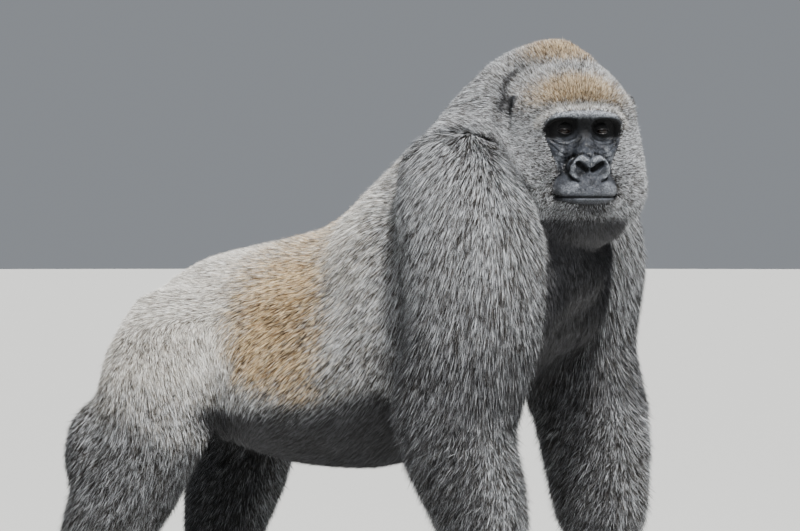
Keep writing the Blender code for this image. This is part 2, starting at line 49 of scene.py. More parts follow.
# the head's own frame: left, ahead and up from the point midway between the eyes
def middleOf(name):
    low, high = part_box(name)
    return (Vector(low) + Vector(high)) / 2


eyeMiddles = {side: middleOf("eye_" + side) for side in ("left", "right")}
headMiddle = (eyeMiddles["left"] + eyeMiddles["right"]) / 2
headLeft = (eyeMiddles["left"] - eyeMiddles["right"]).normalized()
headUp = Vector((0, 0, 1))
headAhead = headLeft.cross(headUp)
headAxes = np.array([headLeft, headAhead, headUp])
eyeRadius = (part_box("eye_left")[1][2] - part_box("eye_left")[0][2]) / 2
fleshNames = [name for name in nodes if not name.startswith("eye_")]


def toHead(points):  # world metres to millimetres in the head's frame
    return (points - np.array(headMiddle)) @ headAxes.T / mm


def fromHead(points):
    return np.array(headMiddle) + points * mm @ headAxes


def smoothStep(value, low, high):
    share = np.clip((value - low) / (high - low), 0, 1)
    return share * share * (3 - 2 * share)


def bell(value, middle, reach):
    return np.exp(-(((value - middle) / reach) ** 2))


def blur(values, links, times, share=0.5):  # evens values out along the mesh's edges
    values = values.copy()
    flat = values.reshape(len(values), -1)
    count = np.maximum(np.bincount(links.ravel(), minlength=len(values)), 1)
    for turn in range(times):
        around = np.stack([
            np.bincount(links[:, 0], weights=flat[links[:, 1], column], minlength=len(flat))
            + np.bincount(links[:, 1], weights=flat[links[:, 0], column], minlength=len(flat))
            for column in range(flat.shape[1])
        ], axis=1) / count[:, None]
        flat += share * (around - flat)
    return flat.reshape(values.shape)


def meshArrays(mesh):
    points = np.empty(len(mesh.vertices) * 3, np.float32)
    mesh.vertices.foreach_get("co", points)
    normals = np.empty(len(mesh.vertices) * 3, np.float32)
    mesh.vertex_normals.foreach_get("vector", normals)
    links = np.empty(len(mesh.edges) * 2, np.int32)
    mesh.edges.foreach_get("vertices", links)
    return points.reshape(-1, 3).astype(float), normals.reshape(-1, 3).astype(float), links.reshape(-1, 2)


def setPoints(mesh, points):
    mesh.vertices.foreach_set("co", points.astype(np.float32).ravel())
    mesh.update()


def getField(mesh, name):
    values = np.empty(len(mesh.vertices), np.float32)
    mesh.attributes[name].data.foreach_get("value", values)
    return values


def setField(mesh, name, values):
    kind, key = ("FLOAT", "value") if values.ndim == 1 else ("FLOAT_VECTOR", "vector")
    layer = mesh.attributes.get(name) or mesh.attributes.new(name, kind, "POINT")
    layer.data.foreach_set(key, values.astype(np.float32).ravel())


def addObject(name, mesh):
    obj = bpy.data.objects.new(name, mesh)
    bpy.context.scene.collection.objects.link(obj)
    return obj


def settle(obj):  # gives the object the mesh that its modifiers make
    mesh = bpy.data.meshes.new_from_object(obj.evaluated_get(bpy.context.evaluated_depsgraph_get()))
    obj.modifiers.clear()
    obj.data = mesh


# the skin: one closed surface, made of all the flesh and let in by the depth of the coat
skinSet = {
    "overlap": 0.0006,  # each piece of flesh is grown by this, so that the pieces meet
    "voxel": 0.005,
    "smoothing": 12,
    "triangles": 58000,  # before the face is refined
    "depthRounds": 30,  # how evenly the depth of the coat changes between parts of the body
    "fineParts": ("ear_left", "ear_right", "hand_left", "hand_right", "foot_left", "foot_right"),
    "faceRing": (-16, -12),  # millimetres inside the bare face over which the mesh turns fine
    "headFine": 0.7,  # how much of the fine mesh the rest of the head gets
    "keenEdge": 0.85,  # how far fine parts are kept out of the smoothing
    "sparing": 0.93,  # how far fine parts are kept out of the thinning
    # left, ahead and up along one side of the dip that parts the forehead from the crest and the nape
    "dip": dict(line=((125, -115, 55), (110, -135, 95), (80, -125, 125), (40, -90, 130), (0, -70, 130)),
                depths=(9, 9, 8, 5, 3.5), reach=10.0),
    "faceOutline": (  # left and up, where the bare face ends on one side
        (0, 39), (30, 38), (58, 33), (75, 18), (76, 0), (71, -20), (62, -44), (52, -66),
        (55, -84), (63, -104), (64, -122), (56, -132), (34, -138), (0, -140),
    ),
    "faceReach": -45,  # the bare face lies ahead of this
    "offFace": -60.0,
}


def joinFlesh():
    shape = bmesh.new()
    for name in fleshNames:
        piece = bmesh.new()
        piece.from_mesh(nodes[name].data)
        bmesh.ops.remove_doubles(piece, verts=piece.verts, dist=0.00001)
        piece.normal_update()
        for corner in piece.verts:
            corner.co += corner.normal * skinSet["overlap"]
        mesh = bpy.data.meshes.new(name + "_grown")
        piece.to_mesh(mesh)
        shape.from_mesh(mesh)
        piece.free()
        bpy.data.meshes.remove(mesh)
    joined = bpy.data.meshes.new("skin")
    shape.to_mesh(joined)
    shape.free()
    return joined


def nodeFinder():  # the CAD nodes as one tree, with the name behind each triangle
    corners, faces, owners = [], [], []
    for name in fleshNames:
        mesh = nodes[name].data
        start = len(corners)
        corners += [vertex.co.copy() for vertex in mesh.vertices]
        faces += [[start + index for index in face.vertices] for face in mesh.polygons]
        owners += [name] * len(mesh.polygons)
    return BVHTree.FromPolygons(corners, faces), owners


def awayFromRun(across, up, start, run):  # distance from a straight run
    along = ((across - start[0]) * run[0] + (up - start[1]) * run[1]) / (run @ run)
    along = np.clip(along, 0, 1)
    return np.hypot(across - start[0] - along * run[0], up - start[1] - along * run[1])


def insideOutline(across, up, outline):  # distance inside a closed outline, below zero outside it
    corners = np.array(outline, float)
    following = np.roll(corners, -1, axis=0)
    nearest = np.full(len(across), 1e9)
    inside = np.zeros(len(across), bool)
    for start, end in zip(corners, following):
        run = end - start
        nearest = np.minimum(nearest, awayFromRun(across, up, start, run))
        crosses = (start[1] > up) != (end[1] > up)
        slope = run[0] / (run[1] if abs(run[1]) > 1e-9 else 1e-9)
        inside ^= crosses & (across < start[0] + (up - start[1]) * slope)
    return np.where(inside, nearest, -nearest)


def faceInside(points):  # millimetres inside the bare face
    head = toHead(points)
    half = skinSet["faceOutline"]
    outline = list(half) + [(-across, up) for across, up in reversed(half[1:-1])]
    inside = insideOutline(head[:, 0], head[:, 2], outline)
    return np.where(head[:, 1] > skinSet["faceReach"], inside, skinSet["offFace"])


print("skin: joining the flesh")
skin = addObject("skin", joinFlesh())
remesh = skin.modifiers.new("voxels", "REMESH")
remesh.mode = "VOXEL"
remesh.voxel_size = skinSet["voxel"]
settle(skin)
print("skin:", len(skin.data.vertices), "points after the remesh")

# what each part of the body carries: depth of the coat, length and width of the hair, how dark and how
# ruffled it is, and how it lies
# that is given for surface that looks up, sideways, forward, back and down; its first value is outward
bodySet = {
    "head": dict(depth=0.007, length=0.0125, width=0.00145, dark=0.19, frizz=0.12, up=(0, 1, 0),
                 side=(0, 1, -0.5), front=(0, 1, 0.4), rear=(0, 0.2, -1), under=(0, 1, -0.2)),
    "ear": dict(depth=0.0, length=0.009, width=0.001, dark=0.9, frizz=0.2, up=(0, 1, 0.2), side=(0, 1, 0.2),
                front=(0, 1, 0.2), rear=(0, 1, 0.2), under=(0, 1, 0.2)),
    "neck": dict(depth=0.011, length=0.024, width=0.00165, dark=0.0, frizz=0.1, up=(0.1, 1, -0.6),
                 side=(0.2, 0.6, -0.8), front=(0, -0.2, -1), rear=(0, 0.3, -1), under=(0, 0.2, -1)),
    "chest": dict(depth=0.010, length=0.027, width=0.0018, dark=0.09, frizz=0.1, up=(0.1, 1, -0.35),
                  side=(0, 0.5, -0.9), front=(0, 0, -1), rear=(0, 0.3, -1), under=(0, 1, 0)),
    "belly": dict(depth=0.008, length=0.023, width=0.0017, dark=0.0, frizz=0.1, up=(0, 1, -0.15),
                  side=(0, 0.7, -0.75), front=(0, 0, -1), rear=(0, 0.3, -1), under=(0, 1, 0)),
    "pelvis": dict(depth=0.007, length=0.020, width=0.0016, dark=0.0, frizz=0.1, up=(0, 1, -0.3),
                   side=(0, 0.45, -0.9), front=(0, -0.2, -1), rear=(0, 0.1, -1), under=(0, 0.3, -1)),
    "upper_arm": dict(depth=0.014, length=0.040, width=0.0017, dark=0.20, frizz=0.08, up=(0.4, 0.3, -0.9),
                      side=(0, 0.08, -1), front=(0.1, 0, -1), rear=(0.1, 0.2, -1), under=(0, 0, -1)),
    "forearm": dict(depth=0.010, length=0.022, width=0.0014, dark=0.54, frizz=0.28, up=(0.3, 0.2, -1),
                    side=(0, 0.3, -1), front=(0.3, 0, -1), rear=(0.1, 0.4, -0.9), under=(0, 0.2, -1)),
    "hand": dict(depth=0.003, length=0.012, width=0.0011, dark=0.8, frizz=0.15, up=(0.3, 0.2, -1),
                 side=(0, 0.5, -0.8), front=(0.3, 0, -1), rear=(0, 0.3, -1), under=(0, 0, -1)),
    "thigh": dict(depth=0.009, length=0.024, width=0.0016, dark=0.18, frizz=0.12, up=(0.2, -0.3, -1),
                  side=(0, -0.35, -0.9), front=(0.2, -0.2, -1), rear=(0, 0, -1), under=(0, -0.3, -1)),
    "shank": dict(depth=0.009, length=0.022, width=0.0014, dark=0.40, frizz=0.2, up=(0, 0.4, -0.9),
                  side=(0, 0.35, -0.95), front=(0.5, 0.1, -0.9), rear=(0, 0.1, -1), under=(0, 0.3, -1)),
    "foot": dict(depth=0.003, length=0.012, width=0.0011, dark=0.8, frizz=0.15, up=(0.2, -1, -0.2),
                 side=(0, -1, -0.2), front=(0.2, -1, -0.3), rear=(0, 0.2, -1), under=(0, -1, 0)),
}


def familyOf(name):
    return name.replace("_left", "").replace("_right", "")


def familiesOf(owners):
    return np.array([familyOf(name) for name in owners])


def ownersOf(points):  # the CAD node nearest to each point
    tree, owners = nodeFinder()
    return np.array([owners[tree.find_nearest(point)[2]] for point in points])


def fieldOf(owners, key):  # one value of bodySet for each point
    names = np.unique(owners)
    values = np.array([bodySet[familyOf(name)][key] for name in names], float)
    return values[np.searchsorted(names, owners)]


def dipAt(head):  # millimetres that the dip goes in
    line = np.array(skinSet["dip"]["line"], float)
    depths = np.array(skinSet["dip"]["depths"], float)
    spots = np.concatenate([np.abs(head[:, :1]), head[:, 1:]], axis=1)
    deepest = np.zeros(len(head))
    for number in range(len(line) - 1):
        run = line[number + 1] - line[number]
        along = np.clip((spots - line[number]) @ run / (run @ run), 0, 1)
        away = np.linalg.norm(spots - line[number] - along[:, None] * run, axis=1)
        depth = depths[number] + (depths[number + 1] - depths[number]) * along
        deepest = np.maximum(deepest, depth * bell(away, 0, skinSet["dip"]["reach"]))
    return deepest


# each pair is where a change starts and where it is done: heights and widths in metres, slants as cosines
bareSet = {
    "faceEdge": (-3, 5),  # millimetres inside the bare face
    "faceSlant": (-0.55, -0.2),
    "fistTop": (0.060, 0.082),
    "palmSlant": (0.1, 0.6),
    "palmTop": (0.11, 0.14),
    "toesTop": (0.020, 0.042),
    "ear": 0.6,
    "breast": 0.45,
    "breastSlant": (0.55, 0.8),
    "breastWidth": (0.10, 0.15),
    "breastLow": (0.44, 0.50),
    "breastHigh": (0.80, 0.86),
}


def fadeStep(value, pair):  # 1 before the pair, 0 past it
    return 1 - smoothStep(value, *pair)


def breastShare(points, normals):  # the nearly bare front of the chest
    share = smoothStep(-normals[:, 1], *bareSet["breastSlant"])
    share = share * fadeStep(np.abs(points[:, 0]), bareSet["breastWidth"])
    share = share * smoothStep(points[:, 2], *bareSet["breastLow"])
    return share * fadeStep(points[:, 2], bareSet["breastHigh"])


def bareShare(points, normals, owners):  # 1 on bare skin, 0 where the coat is full
    bare = smoothStep(faceInside(points), *bareSet["faceEdge"])
    bare = bare * smoothStep(normals @ headAxes[1], *bareSet["faceSlant"])
    family, height = familiesOf(owners), points[:, 2]
    palm = smoothStep(normals[:, 1], *bareSet["palmSlant"]) * fadeStep(height, bareSet["palmTop"])
    bare = np.where(family == "hand", np.maximum(fadeStep(height, bareSet["fistTop"]), palm), bare)
    bare = np.where(family == "foot", fadeStep(height, bareSet["toesTop"]), bare)
    bare = np.where(family == "ear", bareSet["ear"], bare)
    return np.where(family == "chest", bareSet["breast"] * breastShare(points, normals), bare)


points, normals, links = meshArrays(skin.data)
owners = ownersOf(points)
bare = blur(bareShare(points, normals, owners), links, 2)
onFine = np.isin(owners, skinSet["fineParts"])
nearFace = smoothStep(faceInside(points), *skinSet["faceRing"])
fine = np.maximum(nearFace, onFine)
fine = blur(np.maximum(fine, skinSet["headFine"] * (owners == "head")), links, 3)
keen = np.clip(blur(onFine + nearFace, links, 3), 0, 1)[:, None]
points = blur(points, links, skinSet["smoothing"], 0.5 * (1 - skinSet["keenEdge"] * keen))
depth = blur(fieldOf(owners, "depth") * (1 - bare), links, skinSet["depthRounds"])
setPoints(skin.data, points)
normals = blur(meshArrays(skin.data)[1], links, 6)
normals /= np.linalg.norm(normals, axis=1)[:, None]
inward = depth + dipAt(toHead(points)) * mm
setPoints(skin.data, points - normals * inward[:, None])
spare = skin.vertex_groups.new(name="spare")
for index, share in enumerate(1 - skinSet["sparing"] * fine):
    spare.add([index], float(share), "REPLACE")
thin = skin.modifiers.new("thin", "DECIMATE")
thin.ratio = skinSet["triangles"] / len(skin.data.polygons)
thin.vertex_group = spare.name
settle(skin)
skin.vertex_groups.clear()
print("skin:", len(skin.data.polygons), "triangles after thinning")


# the face, in millimetres of the head's frame; strokes are given for one side and mirrored
faceSet = {
    "eyeAcross": 36.1,
    "lidRadius": 12.5,
    "lidHalf": (13.0, 3.8, 5.8),  # half width, height above and below the eye's middle
    "lidTilt": 0.06,  # how fast the outer corner of the eye rises
    "lidFolds": ((1, 1.1, -3.6), (-1, 0.9, -3.0)),  # above or below, depth, and place outside the gap
    "foldWidth": 0.9,
    "lidEdge": (12, 19),  # from the eye's middle, where the lids run out into the face
    "lidArea": 20,
    "gapArea": 17,
    "eyeBehind": -20,  # nothing behind this is shaped as a lid
    "socketFloor": dict(ahead=4.0, slope=0.25, low=8),
    "lidBlend": 2.0,
    "gapDepth": 4.0,
    "gapEdge": (-0.3, 0.9),
    "pitEdge": (-1.2, 1.8),
    "nostrilLift": 3.0,
    # line across and up on one side, its half width and how far it stands out
    "strokes": (
        dict(line=((0, 31), (28, 32), (52, 29), (68, 21), (75, 10)), width=6.5, push=7.0),
        dict(line=((26, 12), (40, 15), (56, 13), (65, 5), (65, -3)), width=8.5, push=-10.0),
        dict(line=((24, -2), (20, 8)), width=5.0, push=-3.0),
        dict(line=((14, 27), (30, 30), (48, 27), (62, 20)), width=6.0, push=1.8),
        dict(line=((18, -13), (30, -17.5), (45, -17.5), (61, -12)), width=1.4, push=-2.2),
        dict(line=((10, -13), (17, -21), (36, -27.5), (50, -25), (64, -17)), width=1.6, push=-2.6),
        dict(line=((34, -46), (50, -38), (66, -24)), width=1.6, push=-2.0),
        dict(line=((14, -24), (24, -33), (38, -38)), width=1.5, push=-1.6),
        dict(line=((40, -52), (52, -46)), width=1.5, push=-1.4),
        dict(line=((17, -16), (27, -22.5), (39, -25.5), (53, -21.5)), width=2.2, push=1.2),
        dict(line=((48, -58), (46, -68), (50, -78)), width=2.4, push=-2.6),
        dict(line=((4, 38), (6, 28), (9, 18)), width=1.6, push=-1.7),
        dict(line=((13, 36), (15, 28), (17, 21)), width=1.6, push=-1.1),
        dict(line=((0, 12), (9, 10)), width=1.3, push=-0.9),
        dict(line=((0, 5), (10, 4)), width=1.3, push=-0.9),
        dict(line=((0, -3), (11, -6)), width=1.3, push=-0.8),
        dict(line=((3, -16), (12, -26), (17, -36)), width=1.5, push=-1.2),
        dict(line=((3, -30), (9, -38)), width=1.4, push=-0.9),
        dict(line=((22, 36), (38, 36.5), (54, 31)), width=1.3, push=-0.8),
        dict(line=((20, 31), (38, 31.5), (56, 26)), width=1.3, push=-0.7),
        # nose: pad between the wings, wing crests, the groove behind them and the folds into the lip
        dict(line=((0, -58), (0, -76)), width=8.0, push=4.0),
        dict(line=((0, -47), (0, -70)), width=2.4, push=-3.0),
        dict(line=((8, -57), (17, -54), (26, -58), (32, -68), (33, -79), (27, -88)), width=4.2, push=5.0),
        dict(line=((44, -40), (52, -56), (54, -72)), width=9.0, push=4.5),
        dict(line=((13, -50), (20, -50)), width=5.0, push=2.0),
        dict(line=((12, -42), (24, -46), (34, -55), (40, -67), (40, -81), (33, -91), (23, -96)), width=2.6,
             push=-4.8),
        dict(line=((14, -90), (10, -100)), width=4.5, push=1.8),
        dict(line=((0, -82), (0, -104)), width=2.4, push=-1.4),
        dict(line=((42, -76), (52, -83), (60, -93), (65, -108), (64, -120)), width=3.2, push=-2.6),
        # lips
        dict(line=((30, -104), (46, -110)), width=11.0, push=3.5),
        dict(line=((0, -118), (30, -118), (50, -117)), width=4.5, push=1.2),
        dict(line=((0, -129.2), (30, -128.8), (46, -127.4)), width=2.2, push=2.6),
        dict(line=((0, -125.6), (30, -125.4), (50, -124.6), (59, -123)), width=1.5, push=-4.2),
        dict(line=((54, -124), (60, -122)), width=4.0, push=-3.2),
        dict(line=((0, -141), (26, -140), (44, -136)), width=4.0, push=-1.4),
    ),
    "nostril": dict(line=((5.5, -75.5), (11, -72.5), (17, -68.5), (22.5, -64)), width=5.4, push=-11.0),
    "crinkles": ((0.16, 0.55), (0.42, 0.30)),  # waves in each millimetre, and their height
}


def awayFromLine(across, up, line):
    away = np.full(len(across), 1e9)
    for start, end in zip(np.array(line[:-1], float), np.array(line[1:], float)):
        away = np.minimum(away, awayFromRun(across, up, start, end - start))
    return away


def lidOpening(across, up):  # how far inside the gap between the lids, below zero on the lids
    half, above, below = faceSet["lidHalf"]
    outward = across - faceSet["eyeAcross"]
    arch = np.clip(1 - (outward / half) ** 2, 0, 1)
    tilt = faceSet["lidTilt"] * outward
    margin = np.minimum(above * arch ** 0.7 + tilt - up, up - tilt + below * arch ** 0.85)
    return np.where(np.abs(outward) > half, -np.hypot(np.abs(outward) - half, up), margin)


def sculptFace(points, normals, links):
    head = toHead(points)
    across, up = np.abs(head[:, 0]), head[:, 2]
    onFace = smoothStep(faceInside(points), -8, 3) * (head[:, 1] > skinSet["faceReach"])
    smooth = blur(normals, links, 8) @ headAxes.T
    smooth /= np.linalg.norm(smooth, axis=1)[:, None]
    push = np.zeros(len(points))
    for stroke in faceSet["strokes"]:
        away = awayFromLine(across, up, stroke["line"])
        push += stroke["push"] * bell(away, 0, stroke["width"])
    crease = np.zeros(len(points))
    for index in np.nonzero(onFace > 0)[0]:
        spot = head[index]
        for pace, tall in faceSet["crinkles"]:
            crease[index] += tall * noise.noise(Vector(spot * pace))
    head += smooth * ((push + crease) * onFace)[:, None]
    setField(skin.data, "carved", push * onFace)
    # nostrils go back and up
    hole = faceSet["nostril"]
    away = awayFromLine(across, up, hole["line"])
    outer, inner = faceSet["pitEdge"]
    pit = smoothStep(-away, -hole["width"] + outer, -hole["width"] + inner) * onFace
    head[:, 1] += hole["push"] * pit
    head[:, 2] += faceSet["nostrilLift"] * pit
    # the lids lie on a ball just over the eye, with a gap between them
    fromEye = np.hypot(across - faceSet["eyeAcross"], up)
    ball = np.sqrt(np.maximum(faceSet["lidRadius"] ** 2 - fromEye ** 2, 0))
    near, deep = fadeStep(fromEye, faceSet["lidEdge"]), faceSet["socketFloor"]
    floor = np.minimum(head[:, 1], deep["ahead"] + deep["slope"] * np.abs(fromEye - deep["low"]))
    base = head[:, 1] * (1 - near) + floor * near
    over = 0.5 * (base + ball + np.sqrt((base - ball) ** 2 + faceSet["lidBlend"]))
    lids = (fromEye < faceSet["lidArea"]) & (head[:, 1] > faceSet["eyeBehind"])
    head[:, 1] = np.where(lids, base * (1 - near) + over * near, head[:, 1])
    gap = lidOpening(across, up)
    ring = (fromEye < faceSet["gapArea"]) & (head[:, 1] > faceSet["eyeBehind"])
    head[:, 1] -= np.where(ring, faceSet["gapDepth"] * smoothStep(gap, *faceSet["gapEdge"]), 0)
    for way, tall, middle in faceSet["lidFolds"]:
        fold = tall * bell(gap, middle, faceSet["foldWidth"])
        head[:, 1] -= np.where(ring & (up * way > 0), fold, 0)
    return blur(fromHead(head), links, 2, 0.35 * onFace[:, None])


def refine(obj, chosen):  # splits the edges of the chosen stretch
    shape = bmesh.new()
    shape.from_mesh(obj.data)
    wanted = chosen(np.array([corner.co for corner in shape.verts]))
    edges = [edge for edge in shape.edges if any(wanted[corner.index] for corner in edge.verts)]
    bmesh.ops.subdivide_edges(shape, edges=edges, cuts=1, smooth=0.0)
    bmesh.ops.triangulate(shape, faces=[face for face in shape.faces if len(face.verts) > 4])
    shape.to_mesh(obj.data)
    shape.free()


refine(skin, lambda points: faceInside(points) > -10)
refine(skin, lambda points: faceInside(points) > 2)
points, normals, links = meshArrays(skin.data)
inside = smoothStep(faceInside(points), -16, -8)[:, None]
points = blur(points, links, 10, 0.5 * inside)
setPoints(skin.data, points)
points, normals, links = meshArrays(skin.data)
setPoints(skin.data, sculptFace(points, normals, links))
skin.data.shade_smooth()
print("skin:", len(skin.data.polygons), "faces after the face is refined")


# where rust, pale and dark hair lies, for skin and coat alike; the dark share also holds painted shade, and
# the forearm's front is painted lighter
# places are in metres on the body and in millimetres of its own frame on the head
# pairs are where a change starts and ends
markSet = {
    "trunk": ("chest", "belly", "pelvis", "thigh"),
    "saddle": dict(middle=0.085, reach=0.185, lowEdge=(0.415, 0.485), share=0.68, topLoss=0.24,
                   top=(0.66, 0.75)),
    "silver": dict(along=(0.12, 0.26), up=(0.34, 0.56)),  # the rump
    "upperBack": dict(along=(-0.22, 0.02), up=(0.58, 0.74), pale=0.4),
    "trunkPale": 0.3,
    # the breast and throat are darkened: partly their dark bare skin, partly painted shade
    "breast": dict(slant=(0.45, 0.8), width=(0.15, 0.2)),
    # the inner sides of the limbs are darkened: painted shade
    "innerSlant": (0.3, 0.8),
    "innerFaint": dict(parts=("forearm", "neck"), share=0.2),
    # the low and downward-facing belly and chest are darkened: painted shade
    "belly": dict(low=(0.38, 0.46), slant=(0.1, 0.6)),
    "lowerArm": dict(share=0.36, up=(0.46, 0.80)),
    # forward-facing forearm hair is made lighter: painted light
    "forearmFront": dict(share=0.25, slant=(0.3, 0.8)),
    # across, height, fall towards the sides, half height and half width
    "crownBands": (dict(across=-8, up=72, fall=20, tall=37, wide=104, share=0.66),
                   dict(across=-10, up=154, fall=16, tall=31, wide=84, share=0.70)),
    "crown": dict(behind=-175, below=-190, pale=0.25, up=(60, 100)),
    "fringe": dict(outside=-4, reach=6, pale=0.45, rustLoss=0.7),  # the hair that borders the bare brow
    # hair round the ear and in the dip is darkened: painted shade
    "earHollow": dict(middle=(116, -110, 46), reach=(15, 26)),
    "dipDepth": (3.5, 8),
    # hair under the chin is darkened: painted shade
    "beard": dict(down=(140, 172), half=80),
    "chin": dict(inside=(-4, 4), below=-90),
    "lip": dict(up=-141, tall=15, wide=62, behind=-40),  # the darker hair just under the mouth
    # breast, inner, under, dip and beard darkening is painted shade, the breast's partly its dark skin
    "dark": dict(breast=1.0, inner=0.6, under=0.95, bands=0.55, dip=0.75, beard=0.85, chin=0.6, lip=0.62),
}


def bodyMarks(points, normals, owners):  # rust, pale and dark shares of the body, the dark share with painted shade on inner sides, underneath and partly on the breast
    family = familiesOf(owners)
    trunk = np.isin(family, markSet["trunk"])
    back, height = points[:, 1], points[:, 2]
    saddle = markSet["saddle"]
    rust = trunk * fadeStep(np.abs(back - saddle["middle"]), (0.25 * saddle["reach"], saddle["reach"]))
    rust = rust * smoothStep(height + 0.5 * (saddle["middle"] - back), *saddle["lowEdge"])
    rust = rust * (saddle["share"] - saddle["topLoss"] * smoothStep(height, *saddle["top"]))
    silver, upperBack = (smoothStep(back, *markSet[key]["along"]) * smoothStep(height, *markSet[key]["up"])
                         for key in ("silver", "upperBack"))
    pale = trunk * np.maximum(silver, markSet["trunkPale"] + markSet["upperBack"]["pale"] * upperBack)
    # painted shade on the breast (partly its dark skin), the inner sides and the underside
    breast = np.isin(family, ["chest", "neck"]) * smoothStep(-normals[:, 1], *markSet["breast"]["slant"])
    breast = breast * fadeStep(np.abs(points[:, 0]), markSet["breast"]["width"])
    faint = markSet["innerFaint"]
    inner = smoothStep(-normals[:, 0] * np.sign(points[:, 0]), *markSet["innerSlant"]) * (family != "head")
    inner = inner * np.where(np.isin(family, faint["parts"]), faint["share"], 1.0)
    low = np.isin(family, ["belly", "chest"]) * fadeStep(height, markSet["belly"]["low"])
    under = np.maximum(trunk * smoothStep(-normals[:, 2], *markSet["belly"]["slant"]), low)
    dark, arm, front = fieldOf(owners, "dark"), markSet["lowerArm"], markSet["forearmFront"]
    dark = dark + (family == "upper_arm") * arm["share"] * fadeStep(height, arm["up"])
    # painted light on the forearm's front
    dark = dark - (family == "forearm") * front["share"] * smoothStep(-normals[:, 1], *front["slant"])
    share = markSet["dark"]
    shades = [dark, share["breast"] * breast, share["inner"] * inner, share["under"] * under]
    return rust, pale, np.maximum.reduce(shades)


def headMarks(points, owners, rust, pale, dark):  # the same with the head's bands and fringe, and painted shade in its hollows and on the beard under the chin
    head, family, inside = toHead(points), familiesOf(owners), faceInside(points)
    across, ahead, up = head.T
    crown, fringes, hollow = markSet["crown"], markSet["fringe"], markSet["earHollow"]
    onHead = np.isin(family, ["head", "neck"]) * (ahead > crown["behind"]) * (up > crown["below"])
    for band in markSet["crownBands"]:
        aside = (across - band["across"]) / band["wide"]
        near = bell(up + band["fall"] * aside ** 2, band["up"], band["tall"]) * bell(aside, 0, 1)
        rust = np.maximum(rust, band["share"] * smoothStep(near * onHead, 0.0, 1.0))
    pale = np.maximum(pale, crown["pale"] * onHead * smoothStep(up, *crown["up"]))
    fringe = bell(inside, fringes["outside"], fringes["reach"]) * (up > 0) * (ahead > skinSet["faceReach"])
    pale = np.maximum(pale, fringes["pale"] * fringe)
    rust = rust * (1 - fringes["rustLoss"] * fringe)
    earAway = np.linalg.norm(np.stack([np.abs(across), ahead, up], axis=1) - hollow["middle"], axis=1)
    # painted shade in the dip and round the ear
    dip = np.maximum(smoothStep(dipAt(head), *markSet["dipDepth"]), fadeStep(earAway, hollow["reach"]))
    beard, lip, share = markSet["beard"], markSet["lip"], markSet["dark"]
    # painted shade under the chin
    bearded = np.isin(family, ["head", "neck"]) * (np.abs(across) < beard["half"])
    bearded = bearded * smoothStep(-up, *beard["down"])
    chin = smoothStep(inside, *markSet["chin"]["inside"]) * (up < markSet["chin"]["below"])
    lipShade = bell(up, lip["up"], lip["tall"]) * bell(across, 0, lip["wide"]) * (ahead > lip["behind"])
    chin = np.maximum(share["chin"] * chin, share["lip"] * lipShade) * (family == "head")
    shades = [dark, share["bands"] * rust * onHead, share["dip"] * dip, share["beard"] * bearded, chin]
    return np.stack([rust, pale, np.maximum.reduce(shades)], axis=1)


# on the head the hairs run back from the face and away from its middle, in millimetres of its own frame
headLie = {"aside": 0.9, "back": -75.0, "rise": 0.75, "middle": -25, "rearSlant": -0.1, "rearFall": -70}


def lieOf(points, normals, owners):  # the way the hairs lie, along the surface
    names = np.unique(owners)
    which = np.searchsorted(names, owners)
    faces = {"up": normals[:, 2] > 0, "under": normals[:, 2] <= 0,
             "front": normals[:, 1] < 0, "rear": normals[:, 1] >= 0, "side": normals[:, 0] != 0}
    axis = {"up": 2, "under": 2, "front": 1, "rear": 1, "side": 0}
    outward = np.sign(points[:, 0])
    lie = np.zeros_like(points)
    for face, looksThere in faces.items():
        way = np.array([bodySet[familyOf(name)][face] for name in names], float)[which]
        way = way / np.linalg.norm(way, axis=1)[:, None]
        way[:, 0] *= outward
        lie += way * (normals[:, axis[face]] ** 2 * looksThere)[:, None]
    head = toHead(points)
    onHead = np.isin(owners, ["head", "ear_left", "ear_right"])
    forward = normals @ headAxes[1]
    rise = headLie["rise"] * (head[:, 2] - headLie["middle"])
    rise = np.where(forward < headLie["rearSlant"], headLie["rearFall"], rise)
    way = np.stack([headLie["aside"] * head[:, 0], np.full(len(head), headLie["back"]), rise], axis=1)
    way = way / np.linalg.norm(way, axis=1)[:, None] @ headAxes
    return np.where(onHead[:, None], way, lie)


